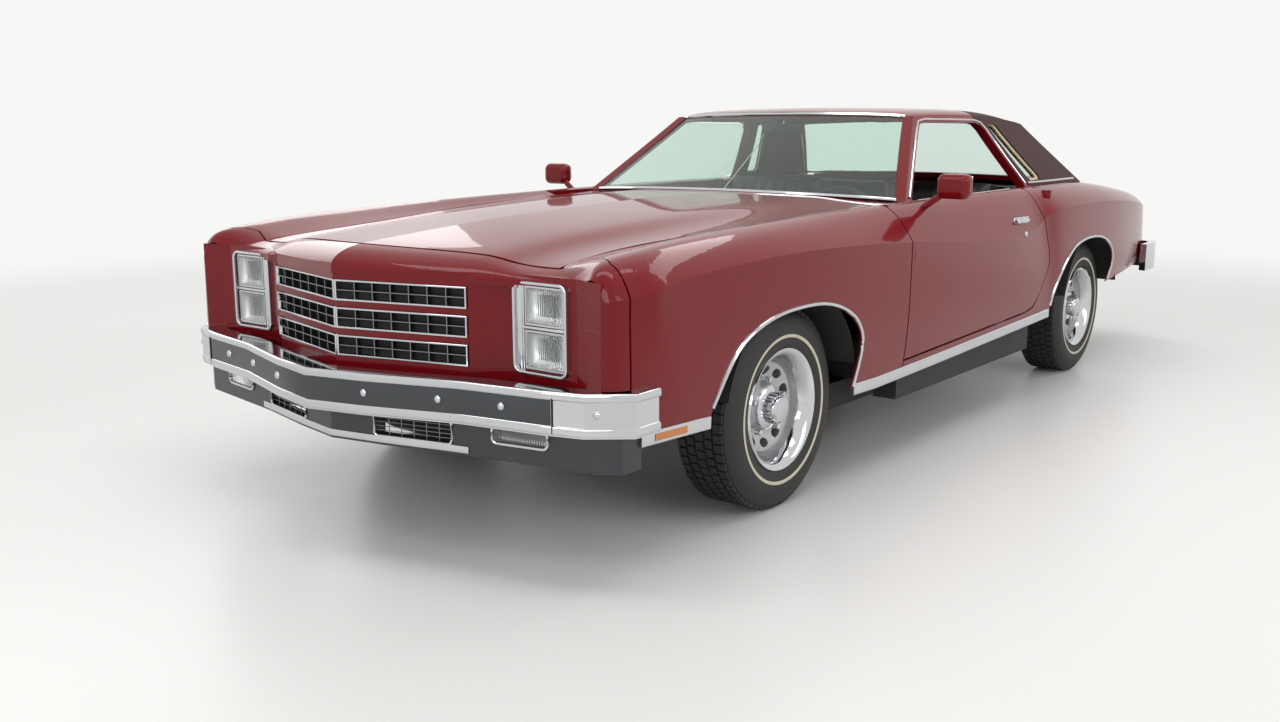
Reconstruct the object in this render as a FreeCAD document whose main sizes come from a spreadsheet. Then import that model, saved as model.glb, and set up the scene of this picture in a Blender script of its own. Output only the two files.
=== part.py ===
import FreeCAD, Part

import os
import re
from math import cos, pi, radians, sin

from FreeCAD import Rotation, Vector

# A two-door hardtop coupe with a landau roof, in millimetres.
# +Z is up and z = 0 is the ground.  The nose points along -Y, so the driver's side is +X.
# The origin lies on the ground, midway along the length and the width.

doc = FreeCAD.newDocument("hardtop_coupe")
sheet = doc.addObject("Spreadsheet::Sheet", "sizes")

DRIVING_SIZES = [
    ("overall_length", 5403),
    ("overall_width", 1971),
    ("overall_height", 1339),
    ("front_overhang", 1218),
    ("wheelbase", 2946),
    ("front_track", 1572),
    ("rear_track", 1552),
    ("tyre_radius", 338),
    ("tyre_width", 225),
    ("rim_radius", 190),
    ("rim_width", 180),
    ("kingpin_inset", 86),
    ("panel_thickness", 6),
    ("lid_thickness", 22),
    ("roof_thickness", 30),
    ("pillar_thickness", 42),
    ("door_thickness", 150),
    ("door_inset", 22),
    ("shut_gap", 8),
    ("lid_gap", 6),
    ("glass_thickness", 5),
    ("door_hinge_depth", 22),
    ("door_hinge_setback", 43),
    ("wheelhouse_radius", 412),
    ("wheelhouse_wall", 5),
    ("rail_width", 80),
    ("rail_height", 100),
    ("floor_height", 312),
    ("floor_thickness", 8),
    ("engine_length", 760),
    ("engine_width", 520),
    ("engine_height", 470),
    ("gearbox_length", 760),
    ("gearbox_radius", 95),
    ("propshaft_radius", 42),
    ("axle_tube_radius", 42),
    ("differential_radius", 135),
    ("differential_width", 230),
    ("exhaust_radius", 28),
    ("muffler_radius", 95),
    ("muffler_length", 620),
    ("tank_length", 560),
    ("tank_width", 780),
    ("tank_height", 190),
    ("seat_width", 560),
    ("seat_cushion_depth", 520),
    ("seat_cushion_height", 190),
    ("seat_back_height", 500),
    ("seat_back_thickness", 150),
    ("rear_seat_width", 1250),
    ("steering_wheel_radius", 195),
    ("steering_rim_radius", 13),
    ("column_radius", 26),
    ("hub_bore", 24),
    ("plate_hole_spacing", 178),
    ("plate_hole_radius", 3.5),
]

for row, (alias, number) in enumerate(DRIVING_SIZES, start=1):
    sheet.set(f"A{row}", alias)
    sheet.set(f"B{row}", str(number))
    sheet.setAlias(f"B{row}", alias)
doc.recompute()
size = {alias: float(sheet.get(alias)) for alias, _ in DRIVING_SIZES}

# Fore-and-aft stations of the axles and the ends.
nose_y = -size["overall_length"] / 2
tail_y = size["overall_length"] / 2
front_axle_y = nose_y + size["front_overhang"]
rear_axle_y = front_axle_y + size["wheelbase"]
axle_z = size["tyre_radius"]

# The body's lines below are drawn at these design stations.  at() carries a drawn
# point to the real car, so that the skin follows the length, width and height.
DRAWN_STATIONS = [-2701.5, -1483.5, 1462.5, 2701.5]
REAL_STATIONS = [nose_y, front_axle_y, rear_axle_y, tail_y]
DRAWN_WIDTH = 1971
DRAWN_HEIGHT = 1339
DRAWN_BELT = 965


def along(y):
    """Carry a drawn fore-and-aft station to the real car."""
    spans = list(zip(DRAWN_STATIONS, DRAWN_STATIONS[1:], REAL_STATIONS, REAL_STATIONS[1:]))
    for low, high, real_low, real_high in spans:
        if y <= high or high == DRAWN_STATIONS[-1]:
            return real_low + (y - low) * (real_high - real_low) / (high - low)


def across(x):
    """Carry a drawn half-width to the real car."""
    return x * size["overall_width"] / DRAWN_WIDTH


def above(z):
    """Carry a drawn height to the real car: only the glasshouse stretches."""
    if z <= DRAWN_BELT:
        return z
    stretch = (size["overall_height"] - DRAWN_BELT) / (DRAWN_HEIGHT - DRAWN_BELT)
    return DRAWN_BELT + (z - DRAWN_BELT) * stretch


def at(x, y, z):
    return Vector(across(x), along(y), above(z))


def knots(count, degree):
    spans = count - degree
    mults = [degree + 1] + [1] * (spans - 1) + [degree + 1]
    return mults, [float(k) for k in range(spans + 1)]


def skin(rows):
    """A smooth face whose control net is a list of rows of points."""
    degree_u = min(3, len(rows) - 1)
    degree_v = min(3, len(rows[0]) - 1)
    mults_u, knots_u = knots(len(rows), degree_u)
    mults_v, knots_v = knots(len(rows[0]), degree_v)
    surface = Part.BSplineSurface()
    surface.buildFromPolesMultsKnots(
        rows, mults_u, mults_v, knots_u, knots_v, False, False, degree_u, degree_v
    )
    return surface.toShape()


def thick(face, vector):
    """The solid that a face sweeps along a straight line."""
    solid = face.extrude(vector)
    if solid.Volume < 0:
        solid.reverse()
    return solid


def polygon(points):
    return Part.Face(Part.makePolygon(points + points[:1]))


def side_prism(outline, inner=300, outer=1200):
    """A block with an outline drawn in side view as (y, z), from x = inner to x = outer."""
    points = [Vector(across(inner), along(y), above(z)) for y, z in outline]
    return polygon(points).extrude(Vector(across(outer) - across(inner), 0, 0))


def plan_prism(outline, low=0, high=1500):
    """A block with an outline drawn in plan as (x, y), between two heights."""
    points = [Vector(across(x), along(y), low) for x, y in outline]
    return polygon(points).extrude(Vector(0, 0, high - low))


def smooth_side_prism(outline, inner=300, outer=1200):
    """A block like side_prism whose outline is one smooth curve closed by a straight line."""
    points = [Vector(across(inner), along(y), above(z)) for y, z in outline]
    curve = Part.BSplineCurve()
    curve.interpolate(points)
    closing = Part.LineSegment(points[-1], points[0])
    wire = Part.Wire([curve.toShape(), closing.toShape()])
    return Part.Face(wire).extrude(Vector(across(outer) - across(inner), 0, 0))


def mirrored(shape):
    return shape.mirror(Vector(0, 0, 0), Vector(1, 0, 0))


def fused(shapes):
    """Shapes joined one after another into one solid."""
    whole = shapes[0]
    for shape in shapes[1:]:
        whole = whole.fuse(shape)
    return whole


def both_sides(shape):
    """One piece on the left and its mirror image on the right, as solids that do not touch."""
    return Part.makeCompound(shape.Solids + mirrored(shape).Solids)


def block(x0, x1, y0, y1, z0, z1):
    return Part.makeBox(x1 - x0, y1 - y0, z1 - z0, Vector(x0, y0, z0))


def bar(start, end, radius):
    return Part.makeCylinder(radius, (end - start).Length, start, end - start)


def main_solids(shape, least=2000.0):
    """The solids of a shape, without slivers smaller than `least` cubic millimetres."""
    kept = [solid for solid in shape.Solids if solid.Volume > least]
    return kept[0] if len(kept) == 1 else Part.makeCompound(kept)


nodes = []


def node(label, shape):
    """A sub-part whose shape is worked out from the sheet's sizes."""
    feature = doc.addObject("Part::Feature", label)
    feature.Label = label
    feature.Shape = main_solids(shape)
    nodes.append(feature)
    return feature.Shape


# ---------------------------------------------------------------- body side lines
# Each station of the half body: (x, y, z) of the top inner edge, the crown, the side
# crease, the middle of the side and the bottom edge, from the nose cap to the tail.
SIDE_STATIONS = [
    ((800, -2402, 835), (862, -2425, 858), (900, -2434, 800), (902, -2434, 650), (898, -2432, 520)),
    ((790, -2395, 842), (872, -2412, 882), (936, -2424, 806), (940, -2424, 640), (936, -2424, 500)),
    ((740, -2380, 850), (866, -2380, 898), (948, -2378, 812), (952, -2380, 620), (950, -2380, 460)),
    ((672, -2334, 872), (860, -2330, 906), (966, -2312, 812), (957, -2330, 620), (951, -2345, 426)),
    ((663, -2250, 880), (860, -2260, 914), (984, -2288, 820), (966, -2250, 620), (952, -2250, 422)),
    ((657, -2184, 885), (862, -2184, 921), (980, -2236, 838), (974, -2190, 620), (953, -2180, 418)),
    ((645, -2034, 897), (856, -2034, 934), (980, -2034, 855), (974, -2034, 620), (953, -2034, 412)),
    ((672, -1700, 914), (852, -1700, 947), (980, -1700, 868), (976, -1700, 620), (953, -1700, 395)),
    ((722, -1350, 932), (838, -1350, 957), (980, -1350, 867), (977, -1350, 620), (953, -1350, 365)),
    ((748, -950, 946), (845, -950, 964), (978, -950, 851), (977, -950, 620), (953, -950, 357)),
    ((785, -480, 958), (868, -480, 966), (974, -480, 822), (976, -480, 615), (953, -480, 366)),
    ((790, 0, 962), (872, 0, 967), (971, 0, 785), (975, 0, 600), (953, 0, 378)),
    ((790, 400, 965), (872, 400, 968), (966, 400, 775), (973, 400, 600), (953, 400, 388)),
    ((790, 620, 966), (866, 620, 969), (952, 620, 800), (968, 640, 610), (953, 640, 394)),
    ((790, 760, 969), (860, 720, 971), (948, 712, 850), (962, 800, 640), (953, 760, 398)),
    ((790, 850, 972), (856, 850, 974), (972, 778, 872), (980, 890, 640), (955, 860, 402)),
    ((790, 1100, 976), (856, 1100, 976), (982, 1000, 884), (982, 1080, 650), (955, 1080, 420)),
    ((785, 1420, 976), (850, 1420, 974), (982, 1400, 884), (980, 1400, 650), (953, 1400, 440)),
    ((745, 1750, 955), (842, 1750, 950), (972, 1750, 872), (972, 1750, 645), (944, 1750, 455)),
    ((715, 2050, 926), (828, 2050, 921), (948, 2050, 852), (950, 2050, 638), (924, 2050, 466)),
    ((695, 2350, 896), (805, 2350, 889), (912, 2350, 824), (918, 2350, 628), (892, 2350, 478)),
    ((690, 2520, 874), (782, 2520, 864), (876, 2520, 800), (888, 2520, 618), (866, 2520, 486)),
    ((690, 2600, 858), (765, 2600, 846), (850, 2600, 782), (866, 2600, 610), (846, 2600, 492)),
]
SHOULDER_BULGE = 16
SIDE_TUCK = 5


def blend(a, b, share):
    return a + (b - a) * share


def side_faces():
    """The upper face, from the top edge over the crown to the crease, and the face below it."""
    upper = [[], [], [], [], []]
    lower = [[], [], [], []]
    for station in SIDE_STATIONS:
        edge, crown, crease, middle, bottom = [at(*point) for point in station]
        rise = blend(edge, crown, 0.5)
        shoulder = blend(crease, crown, 0.5) + Vector(SHOULDER_BULGE, 0, SHOULDER_BULGE)
        peak = crown * 2 - (rise + shoulder) * 0.5
        for row, point in zip(upper, (edge, rise, peak, shoulder, crease)):
            row.append(point)
        tuck = blend(crease, middle, 0.55) - Vector(SIDE_TUCK, 0, 0)
        belly = middle + Vector(SIDE_TUCK, 0, -60)
        for row, point in zip(lower, (crease, tuck, belly, bottom)):
            row.append(point)
    return skin(upper), skin(lower)


upper_side, lower_side = side_faces()
inward = Vector(-1, 0, -0.8) * size["panel_thickness"]
side_shell = fused([thick(upper_side, inward), thick(lower_side, inward)])

# ---------------------------------------------------------------- hood and nose lines
# Rows from the centre crease out to the fender gap; each runs from the nose to the cowl.
HOOD_ROWS = [
    [(0, -2592, 852), (0, -2588, 872), (0, -2545, 897), (0, -2475, 911), (0, -2240, 927),
     (0, -2020, 944), (0, -1628, 964), (0, -1212, 976), (0, -900, 983), (0, -540, 985)],
    [(220, -2532, 846), (220, -2528, 862), (220, -2488, 886), (220, -2430, 903), (220, -2220, 919),
     (225, -2010, 937), (230, -1628, 958), (235, -1212, 971), (240, -900, 979), (240, -530, 982)],
    [(425, -2474, 841), (425, -2470, 856), (425, -2440, 877), (425, -2390, 895), (420, -2200, 912),
     (418, -2000, 930), (422, -1628, 951), (432, -1212, 965), (445, -900, 973), (450, -515, 978)],
    [(500, -2440, 839), (500, -2436, 852), (495, -2410, 868), (480, -2370, 882), (465, -2190, 899),
     (458, -1995, 915), (465, -1628, 937), (485, -1212, 954), (500, -900, 964), (510, -505, 972)],
    [(620, -2404, 836), (620, -2400, 844), (600, -2390, 852), (570, -2350, 862), (550, -2180, 880),
     (545, -1990, 894), (565, -1650, 914), (610, -1250, 935), (640, -930, 948), (655, -485, 962)],
    [(800, -2402, 835), (790, -2395, 842), (740, -2380, 850), (672, -2334, 872), (657, -2184, 885),
     (645, -2034, 897), (672, -1700, 914), (722, -1350, 932), (748, -950, 946), (785, -480, 958)],
]
hood_face = skin([[at(*point) for point in row] for row in HOOD_ROWS])
hood_half = thick(hood_face, Vector(0, 0, -size["lid_thickness"]))

# Gap lines in plan, from the centre outwards, as (x, y).
HOOD_FRONT = [(0, -2475), (220, -2420), (430, -2366), (560, -2340), (672, -2334)]
HOOD_SIDE = [(657, -2184), (645, -2034), (672, -1700), (722, -1350), (748, -950), (770, -640)]
HOOD_REAR = [(600, -585), (300, -630), (0, -645)]
FENDER_FRONT = [(672, -2334), (760, -2300), (820, -2318), (880, -2362), (960, -2368), (1100, -2368)]
lid_gap = size["lid_gap"]


def shifted(outline, dx, dy):
    return [(x + dx, y + dy) for x, y in outline]


def curve_points(points, count=12):
    """Points of a smooth curve through a few drawn ones."""
    curve = Part.BSplineCurve()
    curve.interpolate([Vector(x, y, 0) for x, y in points])
    return [(p.x, p.y) for p in curve.discretize(count)]


hood_edge = curve_points(HOOD_FRONT[-1:] + HOOD_SIDE, 24)
hood_outline = (
    shifted(curve_points(HOOD_FRONT), -lid_gap, lid_gap)
    + shifted(hood_edge, -lid_gap, lid_gap)[1:]
    + [(x, y) for x, y in HOOD_REAR]
)
hood_outline = [(max(x, 0), y) for x, y in hood_outline]
hood_left = hood_half.common(plan_prism(hood_outline))
hood = node("hood", fused([hood_left, mirrored(hood_left)]))

# ---------------------------------------------------------------- fenders
FRONT_ARCH = [
    (-1996, 330), (-1990, 446), (-1930, 540), (-1862, 610), (-1769, 652), (-1639, 679), (-1480, 685),
    (-1360, 676), (-1250, 648), (-1160, 604), (-1112, 555), (-1100, 505), (-1112, 440), (-1135, 330),
]
REAR_ARCH = [
    (812, 330), (826, 446), (868, 520), (925, 586), (990, 637), (1080, 682), (1200, 703), (1330, 706),
    (1460, 694), (1580, 662), (1664, 618), (1700, 560), (1690, 500), (1672, 330),
]
DOOR_FRONT = -733
DOOR_OUTLINE = [
    (DOOR_FRONT, 400), (480, 432), (580, 446), (660, 505), (735, 590), (760, 633),
    (748, 690), (718, 763), (672, 870), (640, 985), (DOOR_FRONT, 985),
]
DOOR_FRONT_EDGE = along(DOOR_FRONT)
shut_gap = size["shut_gap"]
front_arch = smooth_side_prism(FRONT_ARCH)
rear_arch = smooth_side_prism(REAR_ARCH)

fender_plan = plan_prism(
    shifted(hood_edge[::-1], 0, 0)
    + FENDER_FRONT[1:]
    + [(1100, DOOR_FRONT), (770, DOOR_FRONT)]
)
fender_plan = fender_plan.common(block(0, 2000, nose_y, DOOR_FRONT_EDGE - shut_gap, 0, 1500))
fender_left = side_shell.common(fender_plan).cut(front_arch)
node("front_fender_left", fender_left)
node("front_fender_right", mirrored(fender_left))

# ---------------------------------------------------------------- nose panel
FRONT_WALL = [
    (0, -2588), (425, -2474), (500, -2428), (560, -2404), (790, -2402), (830, -2412), (902, -2434),
]
wall_back = shifted(FRONT_WALL, 0, 22)[::-1]
front_wall = plan_prism(FRONT_WALL + wall_back, 540, 852)
nose_front = plan_prism(
    [(0, -2700), (1100, -2700), (1100, -2368), (960, -2368), (880, -2362), (820, -2318), (760, -2300)]
    + HOOD_FRONT[::-1]
)
nose_gap_back = Vector(0, -lid_gap, 0)
nose_region = nose_front.copy()
nose_region.translate(nose_gap_back)
nose_half = fused([hood_half.common(nose_region), front_wall])
LAMP = {"x0": 575, "x1": 752, "z0": 585, "z1": 823}
GRILLE_HALF = 440
GRILLE_LOW = 582
GRILLE_HIGH = 812
lamp_hole = side_prism([(-2500, LAMP["z0"]), (-2300, LAMP["z0"]), (-2300, LAMP["z1"]), (-2500, LAMP["z1"])],
                       LAMP["x0"], LAMP["x1"])
grille_hole = block(0, across(GRILLE_HALF), nose_y, along(-2440), GRILLE_LOW, GRILLE_HIGH)
nose_half = nose_half.cut([lamp_hole, grille_hole])
# The corner caps wrap round to face forward, so their thickness goes back as well as in.
corner_inward = Vector(-0.7, 1, -0.5) * size["panel_thickness"]
below_bumper_top = block(0, 1100, nose_y, along(-2250), 0, 566)
corner_solids = []
for face in (upper_side, lower_side):
    cap = thick(face, corner_inward).common(nose_region).cut([nose_half, below_bumper_top] + corner_solids)
    corner_solids += [solid for solid in cap.Solids if solid.Volume > 2000]
nose_centre = fused([nose_half, mirrored(nose_half)])
nose = node("nose_panel", Part.makeCompound(nose_centre.Solids + both_sides(Part.makeCompound(corner_solids)).Solids))
print("nose corner solids", len(corner_solids))

# ---------------------------------------------------------------- doors
DOOR_FLOOR = 30


def inset(outline, amount):
    """An outline in side view moved inwards by an amount, corner by corner."""
    centre_y = sum(y for y, _ in outline) / len(outline)
    middle_z = 690
    moved = []
    for y, z in outline:
        step_y = amount if y < centre_y else -amount
        step_z = 0 if z > 900 else (amount if z < middle_z else 0)
        moved.append((y + step_y, z + step_z))
    return moved


door_prism = side_prism(DOOR_OUTLINE)
door_core_prism = side_prism(inset(DOOR_OUTLINE, size["door_inset"]))
door_skin = side_shell.common(door_prism).common(block(across(864), across(1100), nose_y, tail_y, 0, 1500))
door_core = thick(lower_side, Vector(-size["door_thickness"], 0, 0)).common(door_core_prism)
door_ledge = thick(upper_side, Vector(0, 0, -70)).common(door_core_prism)
# Each door hangs on two straps.  A strap leaves the pin inboard and then runs forward
# to the hinge pillar, so that the door's skin can swing in behind the fender.
HINGE_HEIGHTS = (530, 790)
PIN_RADIUS = 7
STRAP_HALF = 6
hinge_x = across(985.5) - size["door_hinge_depth"] - 8.5
hinge_y = DOOR_FRONT_EDGE + size["door_hinge_setback"]


def door_strap(z):
    arm = block(hinge_x - 75, hinge_x, hinge_y - 8, hinge_y + 8, z - STRAP_HALF, z + STRAP_HALF)
    reach = block(hinge_x - 75, hinge_x - 60, along(-770), hinge_y, z - STRAP_HALF, z + STRAP_HALF)
    eye = Part.makeCylinder(PIN_RADIUS + 4, 2 * STRAP_HALF, Vector(hinge_x, hinge_y, z - STRAP_HALF))
    bore = Part.makeCylinder(PIN_RADIUS + 0.1, 60, Vector(hinge_x, hinge_y, z - 30))
    return fused([arm, reach, eye]).cut(bore)


door_straps = [door_strap(z) for z in HINGE_HEIGHTS]
strap_pockets = [
    block(hinge_x - 100, hinge_x + 13, DOOR_FRONT_EDGE - 10, hinge_y + 22, z - 20, z + 20) for z in HINGE_HEIGHTS
]
hinge_pins = [Part.makeCylinder(PIN_RADIUS, 60, Vector(hinge_x, hinge_y, z - 30)) for z in HINGE_HEIGHTS]
pillar_notch = block(0, across(816), nose_y, along(-375), 860, 1100)
door_ledge = door_ledge.cut(pillar_notch)
door_left = fused([door_skin, door_ledge, door_core]).cut(strap_pockets)
door_left = fused([door_left] + hinge_pins)
node("door_left", door_left)
node("door_right", mirrored(door_left))

# ---------------------------------------------------------------- quarter panels
DECK_SIDE = [(720, 1600), (712, 1750), (690, 2050), (668, 2350), (650, 2575)]
quarter_front = [(y + shut_gap, z) for y, z in DOOR_OUTLINE[1:-1]]
QUARTER_OUTLINE = (
    [(2600, 1010), (640 + shut_gap, 1010)]
    + quarter_front[::-1][:7]
    + [(580 + shut_gap, 446 - shut_gap), (480, 432 - shut_gap), (480, 330), (2600, 330)]
)
quarter_left = side_shell.common(side_prism(QUARTER_OUTLINE)).cut(rear_arch)
node("quarter_panel_left", quarter_left)
node("quarter_panel_right", mirrored(quarter_left))
ROCKER_OUTLINE = [(DOOR_FRONT, 330), (480, 330), (480, 432 - shut_gap), (DOOR_FRONT, 400 - shut_gap)]
rocker_left = thick(lower_side, Vector(-60, 0, 0)).common(side_prism(ROCKER_OUTLINE))
node("rocker_panels", both_sides(rocker_left))

# ---------------------------------------------------------------- roof and glasshouse
ROOF_ROWS = [
    [(0, -62, 1316), (0, 20, 1333), (0, 300, 1340), (0, 600, 1339), (0, 850, 1331), (0, 1100, 1300)],
    [(260, -50, 1315), (260, 30, 1331), (260, 300, 1338), (260, 600, 1337), (260, 850, 1329), (260, 1098, 1299)],
    [(470, -25, 1309), (470, 40, 1325), (475, 300, 1333), (475, 600, 1332), (475, 850, 1323), (470, 1094, 1293)],
    [(580, -6, 1300), (590, 50, 1318), (598, 300, 1326), (598, 600, 1325), (598, 850, 1316), (585, 1092, 1287)],
    [(600, 0, 1288), (616, 60, 1298), (624, 300, 1304), (624, 600, 1303), (624, 850, 1295), (610, 1090, 1272)],
]
roof_skin = skin([[at(*point) for point in row] for row in ROOF_ROWS])
roof_half = thick(roof_skin, Vector(0, 0, -size["roof_thickness"]))
CAB_SIDE_ROWS = [
    [(602, -460, 1302), (604, 0, 1302), (624, 300, 1306), (624, 600, 1306), (624, 850, 1304), (612, 1100, 1302),
     (604, 1560, 1302)],
    [(668, -460, 1190), (668, 0, 1190), (682, 300, 1190), (686, 600, 1190), (690, 850, 1190), (684, 1100, 1190),
     (672, 1560, 1190)],
    [(735, -460, 1078), (735, 0, 1078), (745, 300, 1078), (752, 600, 1078), (768, 850, 1078), (766, 1100, 1078),
     (752, 1560, 1078)],
    [(806, -460, 955), (806, 0, 955), (808, 300, 955), (816, 600, 955), (852, 850, 955), (856, 1100, 955),
     (838, 1560, 955)],
]
cab_side_face = skin([[at(*point) for point in row] for row in CAB_SIDE_ROWS])
cab_side = thick(cab_side_face, Vector(-size["pillar_thickness"], 0, -8))
CAB_OUTLINE = [
    (-452, 962), (-10, 1296), (60, 1298), (300, 1303), (600, 1302), (850, 1294), (1105, 1270),
    (1150, 1262), (1522, 975), (1522, 962),
]
DOOR_WINDOW = [
    (-392, 962), (-388, 969), (12, 1262), (80, 1270), (560, 1268), (612, 1258), (640, 1235), (760, 985), (762, 962),
]
OPERA_WINDOW = [(700, 1250), (722, 1262), (800, 1258), (975, 1022), (968, 1004), (856, 1000), (836, 1012)]
VINYL_FRONT = [(560, 1400), (560, 1296), (582, 1270), (640, 1262), (664, 1236), (790, 975), (790, 900)]
VINYL_REGION = VINYL_FRONT + [(1700, 900), (1700, 1400)]
PILLAR_FOOT = [(762, 962), (762, 975), (856, 980), (1440, 984), (1522, 979), (1522, 962)]
cab_side = cab_side.common(side_prism(CAB_OUTLINE, 300, 1200)).cut([
    side_prism(DOOR_WINDOW), side_prism(OPERA_WINDOW)])
glasshouse_half = fused([roof_half, cab_side])
glasshouse_half = glasshouse_half.cut(upper_side.extrude(Vector(0, 0, -40))).cut(side_shell)
vinyl_block = side_prism(VINYL_REGION, 0, 1200)
roof_left = glasshouse_half.cut(vinyl_block)
seam_shell = side_shell.copy()
seam_shell.translate(Vector(0.4, 0, 0.6))
vinyl_left = glasshouse_half.common(vinyl_block).cut(seam_shell)
roof = node("roof_panel", fused([roof_left, mirrored(roof_left)]))
vinyl = node("vinyl_roof", fused([vinyl_left, mirrored(vinyl_left)]))

# ---------------------------------------------------------------- cowl and rear deck
SCREEN_BASE = [(0, -545), (300, -530), (600, -488), (800, -432)]
cowl_region = plan_prism(
    [(x, y + lid_gap) for x, y in HOOD_REAR[::-1]]
    + [(752, -610), (765, -450)]
    + SCREEN_BASE[::-1][1:]
)
SEAL_GAP = 0.3


def seal_lip(lid, region):
    """A lip that follows the underside of a shut lid."""
    lip = lid.copy()
    lip.translate(Vector(0, 0, -size["lid_thickness"] - SEAL_GAP))
    return lip.common(region)


COWL_THICKNESS = 32
hood_rest = plan_prism([(0, -690), (690, -640), (690, -560), (300, -600), (0, -620)])
cowl_left = thick(hood_face, Vector(0, 0, -COWL_THICKNESS)).common(cowl_region)
cowl_left = fused([cowl_left, seal_lip(hood_half, hood_rest)])
node("cowl_panel", fused([cowl_left, mirrored(cowl_left)]))

DECK_ROWS = [
    [(0, 1490, 1000), (0, 1560, 992), (0, 1800, 976), (0, 2100, 952), (0, 2400, 922), (0, 2560, 897), (0, 2604, 868)],
    [(300, 1490, 998), (300, 1560, 990), (300, 1800, 974), (300, 2100, 950), (295, 2400, 919), (290, 2560, 893),
     (290, 2604, 866)],
    [(560, 1488, 991), (560, 1560, 984), (560, 1800, 967), (555, 2100, 943), (545, 2400, 910), (530, 2560, 885),
     (530, 2604, 862)],
    [(790, 1420, 976), (760, 1600, 968), (745, 1750, 955), (715, 2050, 926), (695, 2350, 896), (690, 2520, 874),
     (690, 2600, 858)],
]
deck_face = skin([[at(*point) for point in row] for row in DECK_ROWS])
deck_half = thick(deck_face, Vector(0, 0, -size["lid_thickness"]))
DECK_FRONT = 1600
DECK_REAR = 2575
deck_edge = curve_points(DECK_SIDE, 10)
deck_outline = [(0, DECK_FRONT)] + deck_edge + [(0, DECK_REAR)]
deck_left = deck_half.common(plan_prism(deck_outline))
node("deck_lid", fused([deck_left, mirrored(deck_left)]))
filler_region = plan_prism([(0, 1490), (720, 1490), (720, DECK_FRONT - lid_gap), (0, DECK_FRONT - lid_gap)])
TAIL_WALL = [(0, 2604), (690, 2600), (766, 2598), (846, 2590), (846, 2580), (0, 2586)]
# Seen from behind, the wall's top follows the deck and then drops with the body side.
TAIL_TOP = [(0, 868), (690, 858), (765, 846), (812, 820), (846, 786), (846, 500), (0, 500)]
tail_back_view = Part.Face(Part.makePolygon([Vector(across(x), along(2500), z) for x, z in TAIL_TOP + TAIL_TOP[:1]]))
tail_wall = plan_prism(TAIL_WALL, 500, 868).common(tail_back_view.extrude(Vector(0, 200, 0)))
tail_top = deck_half.common(plan_prism([(0, DECK_REAR + lid_gap), (690, DECK_REAR + lid_gap), (690, 2610), (0, 2610)]))
LAMP_REAR = {"x0": 640, "x1": 770, "z0": 600, "z1": 800}
lamp_rear_hole = block(across(640), across(770), along(2500), tail_y, 600, 800)
deck_lip = seal_lip(deck_half, plan_prism([(0, 2545), (640, 2545), (640, 2592), (0, 2592)]))
tail_half = fused([tail_wall.cut(lamp_rear_hole), tail_top, deck_lip]).cut(side_shell)
node("tail_panel", fused([tail_half, mirrored(tail_half)]))
filler_half = deck_half.common(filler_region).cut(glasshouse_half)
node("rear_deck_filler", fused([filler_half, mirrored(filler_half)]))

# ---------------------------------------------------------------- glass
glass = size["glass_thickness"]
SCREEN_TOP = [(0, -52, 1312), (300, -42, 1311), (480, -22, 1304), (598, -2, 1290)]
SCREEN_FOOT = [(0, -540, 986), (300, -525, 984), (600, -484, 978), (806, -428, 964)]
screen_face = skin([[at(*point) for point in row] for row in (SCREEN_FOOT, SCREEN_TOP)])
screen_half = thick(screen_face, Vector(0, glass, -glass)).cut([roof_left, cab_side, upper_side.extrude(Vector(0, 0, -60))])
BACK_TOP = [(0, 1096, 1300), (300, 1094, 1298), (480, 1090, 1292), (600, 1084, 1272)]
BACK_FOOT = [(0, 1514, 1000), (300, 1512, 998), (560, 1506, 991), (820, 1480, 985)]
back_face = skin([[at(*point) for point in row] for row in (BACK_FOOT, BACK_TOP)])
back_half = thick(back_face, Vector(0, -glass, -glass)).cut([vinyl_left, filler_half])
opera_pane = thick(cab_side_face, Vector(-glass, 0, 0))
opera_pane.translate(Vector(-18, 0, 0))
opera_pane = opera_pane.common(side_prism(OPERA_WINDOW))
screen = fused([screen_half, mirrored(screen_half)])
back = fused([back_half, mirrored(back_half)])
node("window_glass", Part.makeCompound(screen.Solids + back.Solids + both_sides(opera_pane).Solids))
DOOR_PANE = [(-352, 968), (16, 1252), (86, 1262), (556, 1260), (600, 1246), (634, 1222), (740, 1000), (600, 967.5), (0, 965)]
door_pane = thick(cab_side_face, Vector(-glass, 0, 0))
door_pane.translate(Vector(-12, 0, 0))
door_pane = door_pane.common(side_prism(DOOR_PANE)).cut(door_ledge)
node("door_glass_right", mirrored(door_pane))

# ---------------------------------------------------------------- bumpers, valance, grille
FRONT_BUMPER = [(0, -2701.5), (200, -2655), (495, -2560), (760, -2512), (880, -2478), (985.5, -2390)]
BUMPER_END_FRONT = (985.5, -2290)
bumper_inner = [(955, -2290), (955, -2372), (860, -2405), (760, -2436), (495, -2484), (200, -2579), (0, -2625)]
FRONT_FACE = (440, 560)
front_beam = plan_prism(FRONT_BUMPER + [BUMPER_END_FRONT] + bumper_inner, *FRONT_FACE)
front_beam = front_beam.cut([side_shell, front_wall])
node("front_bumper", fused([front_beam, mirrored(front_beam)]))
VALANCE_DEPTH = 40
VALANCE_FRONT = [(0, -2618), (200, -2580), (443, -2520), (760, -2462), (880, -2440), (948, -2400), (948, -2320)]
VALANCE_BACK = [(908, -2320), (908, -2380), (860, -2402), (760, -2424), (443, -2482), (200, -2542), (0, -2580)]
valance = plan_prism(VALANCE_FRONT + VALANCE_BACK, 335, 440)
low_grille_hole = block(across(165), across(420), nose_y, front_axle_y - 800, 365, 430)
turn_lamp_hole = block(across(560), across(740), nose_y, front_axle_y - 800, 385, 438)
valance = valance.cut([low_grille_hole, turn_lamp_hole]).cut(side_shell)
node("front_valance", fused([valance, mirrored(valance)]))
GRILLE_PLAN = [(0, -2566), (438, -2452), (438, -2440), (0, -2554)]
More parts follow.
